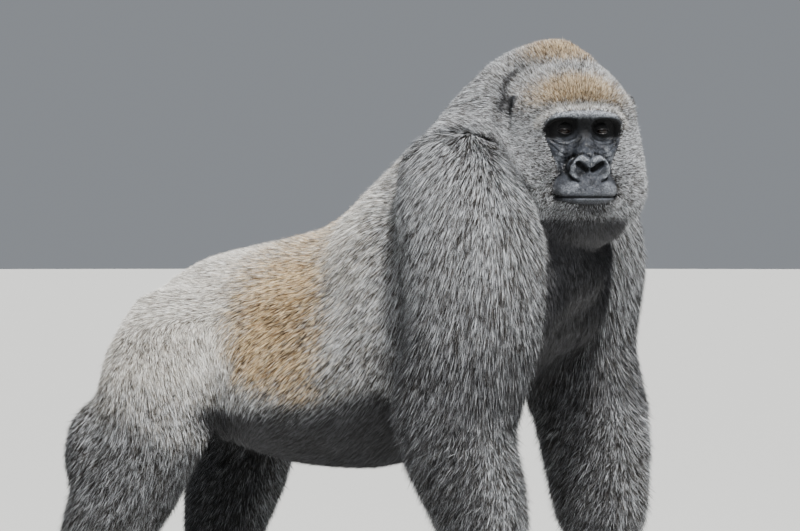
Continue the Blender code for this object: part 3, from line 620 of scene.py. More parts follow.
# the coat: thin tufts, each a long triangle that follows the body from its root to its tip
coatSet = {
    "seed": 11,
    "step": 0.012,  # how far apart a strand's path over the body is sampled
    "reach": 1.2,  # how far the path goes, in lengths of the hair
    "foldSlant": 0.2,  # past this turn of the surface in one step a strand leaves it
    "foldDrop": 0.002,  # and sinks by this at each step
    "rootSink": 0.0010,
    "lengths": (0.65, 1.15),
    "widths": (0.7, 1.25),
    "heights": (0.25, 1.1),  # of a tip, as a share of the coat's depth
    "rises": (0.3, 1.0),
    "roll": 0.9,  # how far a tuft turns about its own run, in radians
    "edgeBend": 0.55,  # how round the light sees each tuft
    "perClump": 7,  # tufts in each lock
    "clumpSpan": 0.03,
    "clumpReach": 0.5,
    "pulls": (0.1, 1.0),
    "lockTint": 0.25,  # share of a tuft's tint that its lock has in common
    "tintRange": 1.7,
    "patch": 0.003,  # each tuft's place on its map
    "faceBehind": -62,  # where the coat of the face ends, in the head's frame
    "quickShare": 8,
    "pieces": {  # CAD nodes and the number of tufts
        "coat_face": dict(nodes=("head",), front=True, tufts=178000),
        "coat_crown": dict(nodes=("head", "ear_left", "ear_right"), front=False, tufts=125000),
        "coat_neck": dict(nodes=("neck",), tufts=120000),
        "coat_shoulders": dict(nodes=("chest",), tufts=185000),
        "coat_flanks": dict(nodes=("belly",), tufts=175000),
        "coat_rump": dict(nodes=("pelvis",), tufts=125000),
        "coat_arm_right": dict(nodes=("upper_arm_right", "forearm_right", "hand_right"), tufts=185000),
        "coat_arm_left": dict(nodes=("upper_arm_left", "forearm_left", "hand_left"), tufts=165000),
        "coat_leg_right": dict(nodes=("thigh_right", "shank_right", "foot_right"), tufts=130000),
        "coat_leg_left": dict(nodes=("thigh_left", "shank_left", "foot_left"), tufts=110000),
    },
}
tuftCorners = np.array([[-0.5, -0.5], [0.5, -0.5], [0, 0.5]])  # two at the root and one at the tip


def cornersOf(mesh):  # the three corners of each triangle
    mesh.calc_loop_triangles()
    corners = np.empty(len(mesh.loop_triangles) * 3, np.int32)
    mesh.loop_triangles.foreach_get("vertices", corners)
    loops = np.empty(len(mesh.loop_triangles) * 3, np.int32)
    mesh.loop_triangles.foreach_get("loops", loops)
    return corners.reshape(-1, 3), loops.reshape(-1, 3)


def combPaths(points, normals, lie, length, tree, corners):  # the way a strand runs from each point
    steps = int(np.ceil(length.max() / coatSet["step"])) + 1
    path, pathNormals = [points], [normals]
    at, way, facing = points.copy(), lie.copy(), normals.copy()
    for number in range(steps):
        going = np.nonzero(length > coatSet["step"] * (number - 0.5))[0]
        if not len(going):
            break
        at, facing = at.copy(), facing.copy()
        aim = at[going] + way[going] * coatSet["step"]
        found = [tree.find_nearest(point) for point in aim]
        hit = np.array([spot[0] for spot in found])
        face = corners[np.array([spot[2] for spot in found])]
        newFacing = normals[face].mean(axis=1)
        newWay = way[going] * 0.5 + lie[face].mean(axis=1) * 0.5
        newWay -= newFacing * np.sum(newWay * newFacing, axis=1)[:, None]
        newWay /= np.maximum(np.linalg.norm(newWay, axis=1), 1e-6)[:, None]
        newFacing /= np.maximum(np.linalg.norm(newFacing, axis=1), 1e-6)[:, None]
        stay = at[going] + way[going] * coatSet["step"] - newFacing * coatSet["foldDrop"]
        turned = np.sum(newFacing * facing[going], axis=1)[:, None] < coatSet["foldSlant"]
        at[going] = np.where(turned, stay, hit)
        facing[going] = np.where(turned, facing[going], newFacing)
        way[going] = np.where(turned, way[going], newWay)
        path.append(at)
        pathNormals.append(facing)
    return np.stack(path, axis=1), np.stack(pathNormals, axis=1)


def unit(vectors):
    return vectors / np.maximum(np.linalg.norm(vectors, axis=-1, keepdims=True), 1e-9)


def alongPath(path, reach):  # the place on each strand's path at its own reach, in steps
    before = np.clip(np.floor(reach).astype(int), 0, path.shape[1] - 2)
    part = (reach - before)[:, None]
    here = np.arange(len(path))
    return path[here, before] * (1 - part) + path[here, before + 1] * part


def locksOf(roots, count):  # the nearest of the first few tufts leads each of the others
    tree = KDTree(count)
    for index in range(count):
        tree.insert(roots[index], index)
    tree.balance()
    return np.array([tree.find(point)[1] for point in roots])


def tuftMesh(name, points):  # one triangle for every three points
    count = len(points) // 3
    mesh = bpy.data.meshes.new(name)
    mesh.vertices.add(len(points))
    mesh.vertices.foreach_set("co", points.astype(np.float32).ravel())
    loops = (np.arange(count)[:, None] * 3 + [1, 0, 2]).ravel()
    mesh.loops.add(len(loops))
    mesh.loops.foreach_set("vertex_index", loops.astype(np.int32))
    mesh.polygons.add(count)
    mesh.polygons.foreach_set("loop_start", np.arange(count, dtype=np.int32) * 3)
    mesh.update()
    mesh.shade_smooth()
    return mesh, loops


def growTufts(name, spots, tufts, body, places):  # thin triangles from random places on the chosen faces
    chance = np.random.default_rng(coatSet["seed"] + len(bpy.data.meshes))
    triangles = body["corners"][spots]
    a, b, c = (body["points"][triangles[:, k]] for k in range(3))
    weight = np.linalg.norm(np.cross(b - a, c - a), axis=1) * body["thickly"][triangles].mean(axis=1)
    total = np.cumsum(weight)
    chosen = np.searchsorted(total, chance.random(tufts) * total[-1])
    first, second = np.sqrt(chance.random(tufts)), chance.random(tufts)
    shares = np.stack([1 - first, first * (1 - second), first * second], axis=1)

    def mix(field):
        return np.einsum("rk,rk...->r...", shares, field[triangles[chosen]])

    length = mix(body["length"]) * chance.uniform(*coatSet["lengths"], tufts)
    width = mix(body["width"]) * chance.uniform(*coatSet["widths"], tufts)
    height = mix(body["depth"]) * chance.uniform(*coatSet["heights"], tufts)
    height += mix(body["rise"]) * length * chance.uniform(*coatSet["rises"], tufts)
    path, facing, reach = mix(body["path"]), unit(mix(body["pathNormals"])), length / coatSet["step"]
    tipFacing = unit(alongPath(facing, reach))
    root = path[:, 0] - facing[:, 0] * coatSet["rootSink"]
    tip = alongPath(path, reach) + tipFacing * height[:, None]
    # neighbours lean together into locks
    locks = max(tufts // coatSet["perClump"], 1)
    lead = locksOf(root, locks)
    near = np.linalg.norm(root[lead] - root, axis=1) < coatSet["clumpSpan"]
    pull = (near * chance.uniform(*coatSet["pulls"], tufts))[:, None] * coatSet["clumpReach"]
    sway = chance.normal(0, 1, (tufts, 3)) * (length * mix(body["frizz"]))[:, None]
    tip += (tip[lead] - tip) * pull + sway
    run = unit(tip - root)
    roll = chance.uniform(-coatSet["roll"], coatSet["roll"], tufts)[:, None]

    def flatSide(out):  # across the tuft, and the way its flat side faces
        side = unit(np.cross(out, run)) * np.cos(roll) + out * np.sin(roll)
        return side, unit(np.cross(run, side))

    side, top = flatSide(facing[:, 0])
    half, bend = side * (width / 2)[:, None], side * coatSet["edgeBend"]
    points = np.stack([root - half, root + half, tip], axis=1).reshape(-1, 3)
    normals = np.stack([unit(top - bend), unit(top + bend), flatSide(tipFacing)[1]], axis=1).reshape(-1, 3)
    mesh, loops = tuftMesh(name, points)
    onMap = np.einsum("rk,rkd->rd", shares, places[spots[chosen]])[:, None] + tuftCorners * coatSet["patch"]
    bakeMap = mesh.uv_layers.new(name="OFBake")
    bakeMap.data.foreach_set("uv", np.clip(onMap.reshape(-1, 2)[loops], 0, 1).astype(np.float32).ravel())
    shared, own = chance.random(locks)[lead], chance.random(tufts)
    tint = shared * coatSet["lockTint"] + own * (1 - coatSet["lockTint"])
    tint = np.repeat(0.5 + (tint - 0.5) * coatSet["tintRange"], 3)
    kind = np.repeat(chance.random(tufts), 3)
    setField(mesh, "marks", np.repeat(mix(body["marks"]), 3, axis=0))
    setField(mesh, "strand", np.stack([tint, np.tile([0.0, 0.0, 1.0], tufts), kind], axis=1))
    mesh.normals_split_custom_set_from_vertices(normals)
    return addObject(name, mesh)


def unwrapPlaces(obj, chosenFaces, loops):  # where each triangle's corners lie on one piece's map
    mesh = obj.data
    picked = np.zeros(len(mesh.polygons), bool)
    picked[chosenFaces] = True
    mesh.polygons.foreach_set("select", picked)
    bpy.context.view_layer.objects.active = obj
    bpy.ops.object.mode_set(mode="EDIT")
    bpy.ops.uv.smart_project(angle_limit=radians(70), island_margin=0.004, correct_aspect=False)
    bpy.ops.object.mode_set(mode="OBJECT")
    flat = np.empty(len(mesh.loops) * 2, np.float32)
    mesh.uv_layers.active.data.foreach_get("uv", flat)
    return flat.reshape(-1, 2).astype(float)[loops]


# pairs are where a change starts and ends, in millimetres of the head's frame
hairSet = {
    "markRounds": (3, 14),  # how far the markings run into each other, on the head and on the body
    "lipLine": (-125, 6),
    "fuzz": ((0.5, (134, 156)), (0.2, (40, 60))),  # sparse hair on the bare chin and at its sides
    "fuzzLeast": 0.07,
    "fuzzFrom": (98, 112),
    "byFace": (0.6, 0.4, (2, 60)),  # hair is short beside the bare face
    "beard": (0.9, (150, 190)),
    "bareShort": 0.72,
    "thinParts": ("hand", "foot", "ear"),
    "thinShare": 0.6,
    "rise": (0.30, 0.08),  # how steeply hair stands on the head and on the body
}


def growthFields(points, smooth, bare, owners, links):  # length and density of the hair
    family, head = familiesOf(owners), toHead(points)
    onHead, down = family == "head", -head[:, 2]
    lips = bell(head[:, 2], *hairSet["lipLine"])
    (chin, chinSpan), (sides, sideSpan) = hairSet["fuzz"]
    fuzz = bare * smoothStep(down, *hairSet["fuzzFrom"]) * (head[:, 1] > 0) * (1 - lips) * onHead
    fuzz *= (hairSet["fuzzLeast"] + chin * smoothStep(down, *chinSpan)
             + sides * smoothStep(np.abs(head[:, 0]), *sideSpan))
    least, more, span = hairSet["byFace"]
    byFace = least + more * smoothStep(-faceInside(points), *span)
    byFace += hairSet["beard"][0] * smoothStep(down, *hairSet["beard"][1])
    length = fieldOf(owners, "length") * (1 - hairSet["bareShort"] * bare) * np.where(onHead, byFace, 1)
    thickly = np.maximum((1 - smoothStep(bare, 0.1, 0.9)), fuzz)
    thickly *= np.where(np.isin(family, hairSet["thinParts"]), hairSet["thinShare"], 1.0)
    return blur(length, links, 6), thickly


print("coat: combing")
points, normals, links = meshArrays(skin.data)
owners = ownersOf(points)
onHead = owners == "head"
bare = blur(bareShare(points, normals, owners), links, 3)
smooth = unit(blur(normals, links, 8))
lie = unit(blur(lieOf(points, smooth, owners), links, 20))
lie = unit(lie - smooth * np.sum(lie * smooth, axis=1)[:, None])
corners, loops = cornersOf(skin.data)
triangleFace = np.empty(len(corners), np.int32)
skin.data.loop_triangles.foreach_get("polygon_index", triangleFace)
marks = headMarks(points, owners, *bodyMarks(points, normals, owners))
marks = np.where(onHead[:, None], *(blur(marks, links, rounds) for rounds in hairSet["markRounds"]))
length, thickly = growthFields(points, smooth, bare, owners, links)
tree = BVHTree.FromPolygons(points.tolist(), corners.tolist())
path, pathNormals = combPaths(points, smooth, lie, length * coatSet["reach"], tree, corners)
body = {
    "points": points, "corners": corners, "length": length, "thickly": thickly, "marks": marks,
    "path": path, "pathNormals": pathNormals,
    "depth": blur(fieldOf(owners, "depth") * (1 - 0.9 * bare), links, 14),
    "width": blur(fieldOf(owners, "width"), links, 8),
    "frizz": blur(fieldOf(owners, "frizz"), links, 12),
    "rise": np.where(onHead, *hairSet["rise"]),
}
unwrapped = addObject("unwrapped", skin.data.copy())
unwrapped.data.uv_layers.new(name="places")
triangleAhead = toHead(points)[corners].mean(axis=1)[:, 1]
triangleOwner = owners[corners[:, 0]]
coatPieces = []
for name, plan in coatSet["pieces"].items():
    chosen = np.isin(triangleOwner, plan["nodes"])
    if "front" in plan:
        chosen &= (triangleAhead > coatSet["faceBehind"]) == plan["front"]
    spots = np.nonzero(chosen)[0]
    places = unwrapPlaces(unwrapped, np.unique(triangleFace[spots]), loops)
    tuftCount = plan["tufts"] // 1
    coatPieces.append(growTufts(name, spots, tuftCount, body, places))
    print("coat:", name, len(coatPieces[-1].data.polygons), "faces")
bpy.data.objects.remove(unwrapped)


# tones of the bare face, in millimetres of the head's frame; pairs are where a change starts and ends.
# Socket, nasion, lips, mouthCorner and nostrilRim place painted shade; ear and limbs give darker skin
faceToneSet = {
    "socket": dict(middle=(47, 6), half=(29, 20), edge=(0.8, 1.15)),
    "ashen": (74, 116),
    "lips": dict(up=-125.5, ashenLoss=3, dark=0.8, tall=1.8),
    "nasion": dict(up=8, half=(36, 27)),
    "mouthCorner": dict(middle=(58, -122), half=(7, 5), dark=0.9),
    "nostrilRim": (-1.5, 0.5),
    "ear": 0.2,
    "limbs": dict(parts=("hand", "foot"), dark=0.45),
    "lowerCarving": dict(below=-30, share=0.5),  # how much of the nose's and lips' relief gets the painted highlight
}


def faceTones(points, normals, owners, carved):  # ashen share, painted shade with darker skin, and carved shares
    plan, family, head = faceToneSet, familiesOf(owners), toHead(points)
    across, up = np.abs(head[:, 0]), head[:, 2]

    def awayFrom(area):  # distance from the middle of an area, in its half sizes
        (sideways, high), half = area["middle"], area["half"]
        return np.abs((across - sideways) / half[0]), np.abs((up - high) / half[1])

    onFace = (family == "head") * (head[:, 1] > skinSet["faceReach"])
    lips, corner, nasion, nostril = plan["lips"], plan["mouthCorner"], plan["nasion"], faceSet["nostril"]
    wide, tall = awayFrom(plan["socket"])
    socket = fadeStep((wide ** 3 + tall ** 3) ** (1 / 3), plan["socket"]["edge"])
    between = bell(np.hypot(head[:, 0] / nasion["half"][0], (up - nasion["up"]) / nasion["half"][1]), 0, 1)
    rim = np.array(plan["nostrilRim"]) + nostril["width"]
    # painted shade in the eye sockets, between the eyes, along the mouth, at its corners and round the
    # nostrils
    shadeAndDarkSkin = np.maximum.reduce([
        socket + lips["dark"] * bell(up, lips["up"], lips["tall"]),
        between,
        corner["dark"] * bell(np.hypot(*awayFrom(corner)), 0, 1),
        fadeStep(awayFromLine(across, up - 2, nostril["line"]), rim),
    ]) * onFace
    # the breast is darkened, partly its dark skin and partly painted shade; ears, hands and feet get darker
    # skin
    shadeAndDarkSkin = np.maximum.reduce([
        shadeAndDarkSkin,
        breastShare(points, normals) * (family == "chest"),
        plan["ear"] * (family == "ear"),
        plan["limbs"]["dark"] * np.isin(family, plan["limbs"]["parts"]),
    ])
    ashen = smoothStep(-up, *plan["ashen"]) * (1 - bell(up, lips["up"], lips["ashenLoss"])) * onFace
    lower = (carved > 0) & (up < plan["lowerCarving"]["below"])
    return np.stack([ashen, shadeAndDarkSkin, np.where(lower, plan["lowerCarving"]["share"] * carved, carved)], axis=1)


carved = getField(skin.data, "carved")
skin.data.attributes.remove(skin.data.attributes["carved"])
setField(skin.data, "marks", marks)
setField(skin.data, "bare", bare)
setField(skin.data, "faceTone", faceTones(points, normals, owners, carved))


def colour(red, green, blue):  # screen values of 0 to 255 to linear light
    def light(value):
        value /= 255
        return value / 12.92 if value <= 0.04045 else ((value + 0.055) / 1.055) ** 2.4
    return light(red), light(green), light(blue), 1.0


# the tones of each kind of hair from dark to light, and those of bare skin, with a pale tone for painted
# highlight on ridges and a black one for painted shade and the darkest skin
toneSet = {
    "grey": (colour(18, 14, 10), colour(66, 59, 52), colour(212, 216, 220)),
    "rust": (colour(58, 42, 26), colour(172, 136, 90), colour(250, 224, 176)),
    "pale": (colour(92, 85, 77), colour(216, 210, 199), colour(255, 254, 250)),
    "dark": (colour(4, 4, 5), colour(13, 13, 15), colour(76, 76, 80)),
    "leather": colour(24, 26, 31),
    "leatherWorn": colour(68, 72, 80),
    "ashen": colour(78, 81, 88),
    "crest": colour(206, 212, 222),
    "orbit": colour(6, 6, 7),
}


def place(tree, kind, sockets=(), **settings):
    made = tree.nodes.new("ShaderNode" + kind)
    for key, value in settings.items():
        setattr(made, key, value)
    for socket, value in dict(sockets).items():
        if isinstance(value, bpy.types.NodeSocket):
            tree.links.new(value, made.inputs[socket])
        else:
            made.inputs[socket].default_value = value
    return made


def ramp(tree, factor, stops):
    made = place(tree, "ValToRGB", {"Fac": factor})
    line = made.color_ramp
    while len(line.elements) < len(stops):
        line.elements.new(0.5)
    for element, (position, tone) in zip(line.elements, stops):
        element.position = position
        element.color = tone
    return made.outputs["Color"]


def blend(tree, share, first, second, way="MIX"):
    made = place(tree, "MixRGB", {"Fac": share, "Color1": first, "Color2": second}, blend_type=way)
    return made.outputs["Color"]


def calc(tree, way, first, second, clamp=False):  # one step of sums on two values
    made = place(tree, "Math", {0: first, 1: second}, operation=way, use_clamp=clamp)
    return made.outputs[0]


def spread(tree, value, low, high, newLow=0.0, newHigh=1.0):  # takes one range of values to another
    made = place(tree, "MapRange", {"Value": value, "From Min": low, "From Max": high,
                                    "To Min": newLow, "To Max": newHigh})
    return made.outputs["Result"]


def noiseAt(tree, where, scale, detail=2.0, rough=0.5, twist=0.0):
    made = place(tree, "TexNoise", {"Vector": where, "Scale": scale, "Detail": detail, "Roughness": rough,
                                    "Distortion": twist})
    return made.outputs["Fac"]


def fieldAt(tree, name, output="Vector"):  # a field of values that the mesh itself carries
    return place(tree, "Attribute", attribute_name=name).outputs[output]


def parted(tree, vector):  # the three values of a field
    return place(tree, "SeparateXYZ", {0: vector}).outputs


def wire(tree, shader, **sources):  # what varies over the surface
    for socket, source in sources.items():
        tree.links.new(source, shader.inputs[socket.replace("_", " ")])


def even(shader, **values):  # what is the same all over
    for socket, value in values.items():
        shader.inputs[socket.replace("_", " ")].default_value = value


def bumpFrom(tree, height, strength, distance):
    made = place(tree, "Bump", {"Height": height, "Strength": strength, "Distance": distance})
    return made.outputs["Normal"]


def coatTone():  # the animal's markings as one group, for skin and coat alike
    group = bpy.data.node_groups.new("coatTone", "ShaderNodeTree")
    group.interface.new_socket("Marks", in_out="INPUT", socket_type="NodeSocketVector")
    for name in ("Tint", "Along", "Kind"):
        group.interface.new_socket(name, in_out="INPUT", socket_type="NodeSocketFloat")
    group.interface.new_socket("Colour", in_out="OUTPUT", socket_type="NodeSocketColor")
    start, end = group.nodes.new("NodeGroupInput"), group.nodes.new("NodeGroupOutput")
    where = place(group, "TexCoord").outputs["Object"]
    broad = noiseAt(group, where, 9.0, 3.0, 0.6)
    close = noiseAt(group, where, 60.0, 2.0, 0.6)
    parts = parted(group, start.outputs["Marks"])
    # each hair has its own tint, darker at its root and paler towards its tip, partly its own tone and
    # partly painted shade among the hairs
    tint = calc(group, "ADD", start.outputs["Tint"], spread(group, close, 0.3, 0.7, -0.16, 0.16))
    tint = calc(group, "ADD", tint, spread(group, start.outputs["Along"], 0.0, 1.0, -0.28, 0.22))
    tint = calc(group, "ADD", tint, spread(group, broad, 0.3, 0.7, -0.13, 0.13), True)
    tones = {
        key: ramp(group, tint, ((0.12, toneSet[key][0]), (0.55, toneSet[key][1]), (0.98, toneSet[key][2])))
        for key in ("grey", "rust", "pale", "dark")
    }
    # within a marking some hairs turn before others, so that its edge is ragged
    ragged = calc(group, "ADD", calc(group, "MULTIPLY", broad, 0.6), calc(group, "MULTIPLY", close, 0.4))
    lag = calc(group, "ADD", calc(group, "MULTIPLY", start.outputs["Kind"], 0.8), -0.8)
    lag = calc(group, "ADD", lag, spread(group, ragged, 0.3, 0.7, -0.15, 0.15))
    whole = tones["grey"]
    for socket, key in (("Y", "pale"), ("X", "rust"), ("Z", "dark")):
        inSpan = calc(group, "GREATER_THAN", parts[socket], 0.02)
        share = calc(group, "ADD", calc(group, "MULTIPLY", parts[socket], 1.7), lag)
        share = calc(group, "MULTIPLY", calc(group, "MULTIPLY", share, 1.5, True), inSpan)
        whole = blend(group, share, whole, tones[key])
    group.links.new(whole, end.inputs["Colour"])
    return group


def newMaterial(name):
    material = bpy.data.materials.new(name)
    material.use_nodes = True
    tree = material.node_tree
    return material, tree, tree.nodes["Principled BSDF"]


def markedTone(tree, tint, along, kind):  # the shared group, fed by the mesh's markings
    tone = place(tree, "Group", node_tree=toneGroup)
    tree.links.new(fieldAt(tree, "marks"), tone.inputs["Marks"])
    for socket, value in (("Tint", tint), ("Along", along), ("Kind", kind)):
        if isinstance(value, float):
            tone.inputs[socket].default_value = value
        else:
            tree.links.new(value, tone.inputs[socket])
    return tone.outputs["Colour"]


toneGroup = coatTone()


def coatMaterial():
    material, tree, shader = newMaterial("coat_hair")
    tint, along, kind = parted(tree, fieldAt(tree, "strand"))
    wire(tree, shader, Base_Color=markedTone(tree, tint, along, kind),
         Roughness=spread(tree, tint, 0, 1, 0.42, 0.62))
    even(shader, Specular_IOR_Level=0.45)
    return material


def skinColour(tree, where, mottled, faceTone, bareness):
    marked = markedTone(tree, noiseAt(tree, where, 400.0), 0.0, noiseAt(tree, where, 500.0))
    leather = blend(tree, spread(tree, mottled, 0.35, 0.7), toneSet["leather"], toneSet["leatherWorn"])
    speckle = spread(tree, noiseAt(tree, where, 420.0, 3.0), 0.38, 0.62, 0.15, 1.0)
    leather = blend(tree, calc(tree, "MULTIPLY", faceTone["X"], speckle), leather, toneSet["ashen"])
    # raised ridges get a painted highlight and carved folds a painted shade
    ridgeHighlight = calc(tree, "MULTIPLY", spread(tree, faceTone["Z"], 0.6, 4.5, 0.0, 0.88), speckle)
    leather = blend(tree, ridgeHighlight, leather, toneSet["crest"])
    leather = blend(tree, spread(tree, faceTone["Z"], -0.5, -3.0, 0.0, 0.85), leather, toneSet["orbit"])
    # painted shade in the sockets, between the eyes, at the mouth and round the nostrils; darker skin on
    # ears, hands, feet and breast, the breast partly painted shade
    leather = blend(tree, calc(tree, "MULTIPLY", faceTone["Y"], 0.92), leather, toneSet["orbit"])
    # skin under the coat is darkened: partly its own dark skin, partly painted shade between the hairs
    return blend(tree, bareness, blend(tree, 0.55, marked, toneSet["dark"][1]), leather)


def skinRoughness(tree, mottled, faceTone, bareness):
    rough = spread(tree, mottled, 0.3, 0.7, 0.22, 0.36)
    furred = calc(tree, "SUBTRACT", 1.0, bareness)
    for value, more in ((faceTone["X"], 0.12), (faceTone["Y"], 0.65), (furred, 0.3)):
        rough = calc(tree, "ADD", rough, calc(tree, "MULTIPLY", value, more), True)
    return rough


def skinMaterial():
    material, tree, shader = newMaterial("skin")
    where = place(tree, "TexCoord").outputs["Object"]
    bareness, faceTone = fieldAt(tree, "bare", "Fac"), parted(tree, fieldAt(tree, "faceTone"))
    mottled = noiseAt(tree, where, 55.0, 5.0, 0.6)
    # fine creases, shallower on hands and feet
    wavy = noiseAt(tree, where, 120.0, 3.0, 0.5, 0.8)
    ridges = calc(tree, "ABSOLUTE", calc(tree, "SUBTRACT", wavy, 0.5), 0.0)
    pores = noiseAt(tree, where, 330.0, 3.0, 0.55)
    grain = calc(tree, "ADD", pores, spread(tree, ridges, 0.0, 0.1, 0.0, 0.9))
    grain = calc(tree, "MULTIPLY", grain, spread(tree, faceTone["Y"], 0.0, 0.45, 1.0, 0.42))
    wire(tree, shader, Base_Color=skinColour(tree, where, mottled, faceTone, bareness),
         Roughness=skinRoughness(tree, mottled, faceTone, bareness),
         Normal=bumpFrom(tree, grain, 0.9, 0.0018))
    even(shader, Specular_IOR_Level=0.34)
    return material


def give(obj, material):
    obj.data.materials.clear()
    obj.data.materials.append(material)
    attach(obj, "root")


hair = coatMaterial()
for piece in coatPieces:
    give(piece, hair)
give(skin, skinMaterial())
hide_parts(*fleshNames)
print("materials: done")


eyeSet = {
    "segments": 56,
    "bulgeSlant": 34,  # degrees from the gaze that the clear front rises over
    "bulge": 0.05,
    "gazeTurn": -10.0,  # the eyes look this far to the right of where the head faces
    "gazeDrop": 1.0,
    "irisSlant": 35,
    "pupilSlant": 12,
    "rimRadius": 0.0009,
    "rimAhead": 0.6,  # millimetres that the rims lie over the ball
    "rimPoints": 40,
    "iris": (colour(30, 18, 12), colour(18, 11, 8), colour(5, 4, 4)),
    "white": (colour(24, 17, 14), colour(15, 11, 10)),
}


def eyeMaterial():
    material, tree, shader = newMaterial("eye")
    slant = fieldAt(tree, "slant", "Fac")
    where = place(tree, "TexCoord").outputs["Object"]
    fleck = spread(tree, noiseAt(tree, where, 900.0, 3.0, 0.7), 0.3, 0.7, -0.012, 0.012)
    pupil, iris = eyeSet["pupilSlant"] / 90, eyeSet["irisSlant"] / 90
    black = (0.001, 0.001, 0.001, 1)
    tone = ramp(tree, calc(tree, "ADD", slant, fleck), (
        (pupil - 0.01, black), (pupil + 0.01, eyeSet["iris"][1]), ((pupil + iris) / 2, eyeSet["iris"][0]),
        (iris - 0.05, eyeSet["iris"][1]), (iris, eyeSet["iris"][2]), (iris + 0.05, eyeSet["white"][0]),
        (0.9, eyeSet["white"][1]),
    ))
    wire(tree, shader, Base_Color=tone, Roughness=spread(tree, slant, iris, 0.9, 0.12, 0.3))
    even(shader, Specular_IOR_Level=0.2, Coat_Weight=0.2, Coat_Roughness=0.03)
    return material


def makeEye(side):
    shape = bmesh.new()
    count = eyeSet["segments"]
    bmesh.ops.create_uvsphere(shape, u_segments=count, v_segments=count, radius=eyeRadius)
    slants = []
    for corner in shape.verts:
        slant = np.degrees(np.arctan2(np.hypot(corner.co.x, corner.co.y), corner.co.z))
        share = max(1 - slant / eyeSet["bulgeSlant"], 0)
        corner.co *= 1 + eyeSet["bulge"] * (1 - (1 - share) ** 2)
        slants.append(slant / 90)
    gaze = headAhead.copy()
    gaze.rotate(Matrix.Rotation(radians(eyeSet["gazeTurn"]), 3, "Z"))
    gaze.rotate(Matrix.Rotation(radians(eyeSet["gazeDrop"]), 3, headLeft))
    turn = gaze.to_track_quat("Z", "Y").to_matrix().to_4x4()
    bmesh.ops.transform(shape, verts=shape.verts, matrix=Matrix.Translation(eyeMiddles[side]) @ turn)
    mesh = bpy.data.meshes.new("eyeball_" + side)
    shape.to_mesh(mesh)
    shape.free()
    setField(mesh, "slant", np.array(slants))
    mesh.shade_smooth()
    return addObject("eyeball_" + side, mesh)


def makeLids(side):  # the moist rims round the gap between the lids
    half, above, below = faceSet["lidHalf"]
    hand = 1 if side == "left" else -1
    route = bpy.data.curves.new("lids_" + side, "CURVE")
    route.dimensions = "3D"
    route.bevel_depth = eyeSet["rimRadius"]
    route.bevel_resolution = 2
    line = route.splines.new("POLY")
    line.points.add(eyeSet["rimPoints"] - 1)
    line.use_cyclic_u = True
    for number, point in enumerate(line.points):
        angle = 2 * pi * number / eyeSet["rimPoints"]
        outward, rise = half * cos(angle), sin(angle)
        arch = max(1 - (outward / half) ** 2, 0)
        up = above * arch ** 0.7 if rise > 0 else -below * arch ** 0.85
        up += faceSet["lidTilt"] * outward
        ahead = (eyeRadius / mm + eyeSet["rimAhead"]) ** 2 - outward ** 2 - up ** 2
        spot = ((faceSet["eyeAcross"] + outward) * hand, max(ahead, 1.0) ** 0.5, up)
        point.co = (*fromHead(np.array(spot)), 1)
    obj = addObject("lids_" + side, route)
    mesh = bpy.data.meshes.new_from_object(obj.evaluated_get(bpy.context.evaluated_depsgraph_get()))
    bpy.data.objects.remove(obj)
    mesh.shade_smooth()
    return addObject("lids_" + side, mesh)


def rimMaterial():
    material, tree, shader = newMaterial("lid_rim")
    where = place(tree, "TexCoord").outputs["Object"]
    tone = ramp(tree, noiseAt(tree, where, 300.0), ((0.3, colour(18, 18, 20)), (0.7, colour(40, 38, 40))))
    wire(tree, shader, Base_Color=tone)
    even(shader, Roughness=0.28)
    return material


eyeShine, rimShine = eyeMaterial(), rimMaterial()
for side in ("left", "right"):
    ball, rims = makeEye(side), makeLids(side)
    give(ball, eyeShine)
    give(rims, rimShine)
    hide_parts("eye_" + side)
print("eyes: done")


nailSet = {
    "shell": 0.0012,
    "stand": {"hand": 0.0004, "foot": 0.0019},  # how far the plate stands out of the skin
    "arch": {"hand": 0.30, "foot": 0.16},  # how far its sides fall, as a share of its width
    "taper": 0.45,
    "tipFall": 0.10,
    "finger": (0.0120, 0.0135),  # width and length
    "thumb": (0.0115, 0.0130),
    "toe": (0.0135, 0.0130),
    "greatToe": (0.0175, 0.0170),
    "fingerAcross": (-0.0456, -0.0152, 0.0152, 0.0456),  # from the wrist's middle towards the outer side
    "fingerHeight": 0.0345,
    "behind": 0.3,  # where the search for a finger's tip starts, behind the knuckles
    "inside": 0.15,  # and for a thumb's, towards the middle of the body
    "above": 0.15,  # and for a toe's, over the floor
    "thumbPlace": (0.080, 0.052),  # behind the front of the knuckles, and above the floor
    "toePlaces": ((-0.0345, 0.187), (-0.0080, 0.190), (0.0185, 0.182), (0.0440, 0.172)),  # across and ahead
    "greatToePlace": (-0.0855, 0.151),
    "ankle": (0.0585, 0.2025),  # in from the foot's outer side, and behind its front
    "splay": {"left": -10.0, "right": -12.0},  # degrees that each foot turns out, on its own side
    "tone": (colour(14, 13, 13), colour(38, 36, 35)),
}


def wristOf(name):  # the middle of the flat where a hand is parted from its arm
    ends = np.array([corner.co[:] for corner in nodes[name].data.vertices])
    return ends[ends[:, 2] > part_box(name)[1][2] - mm].mean(axis=0)


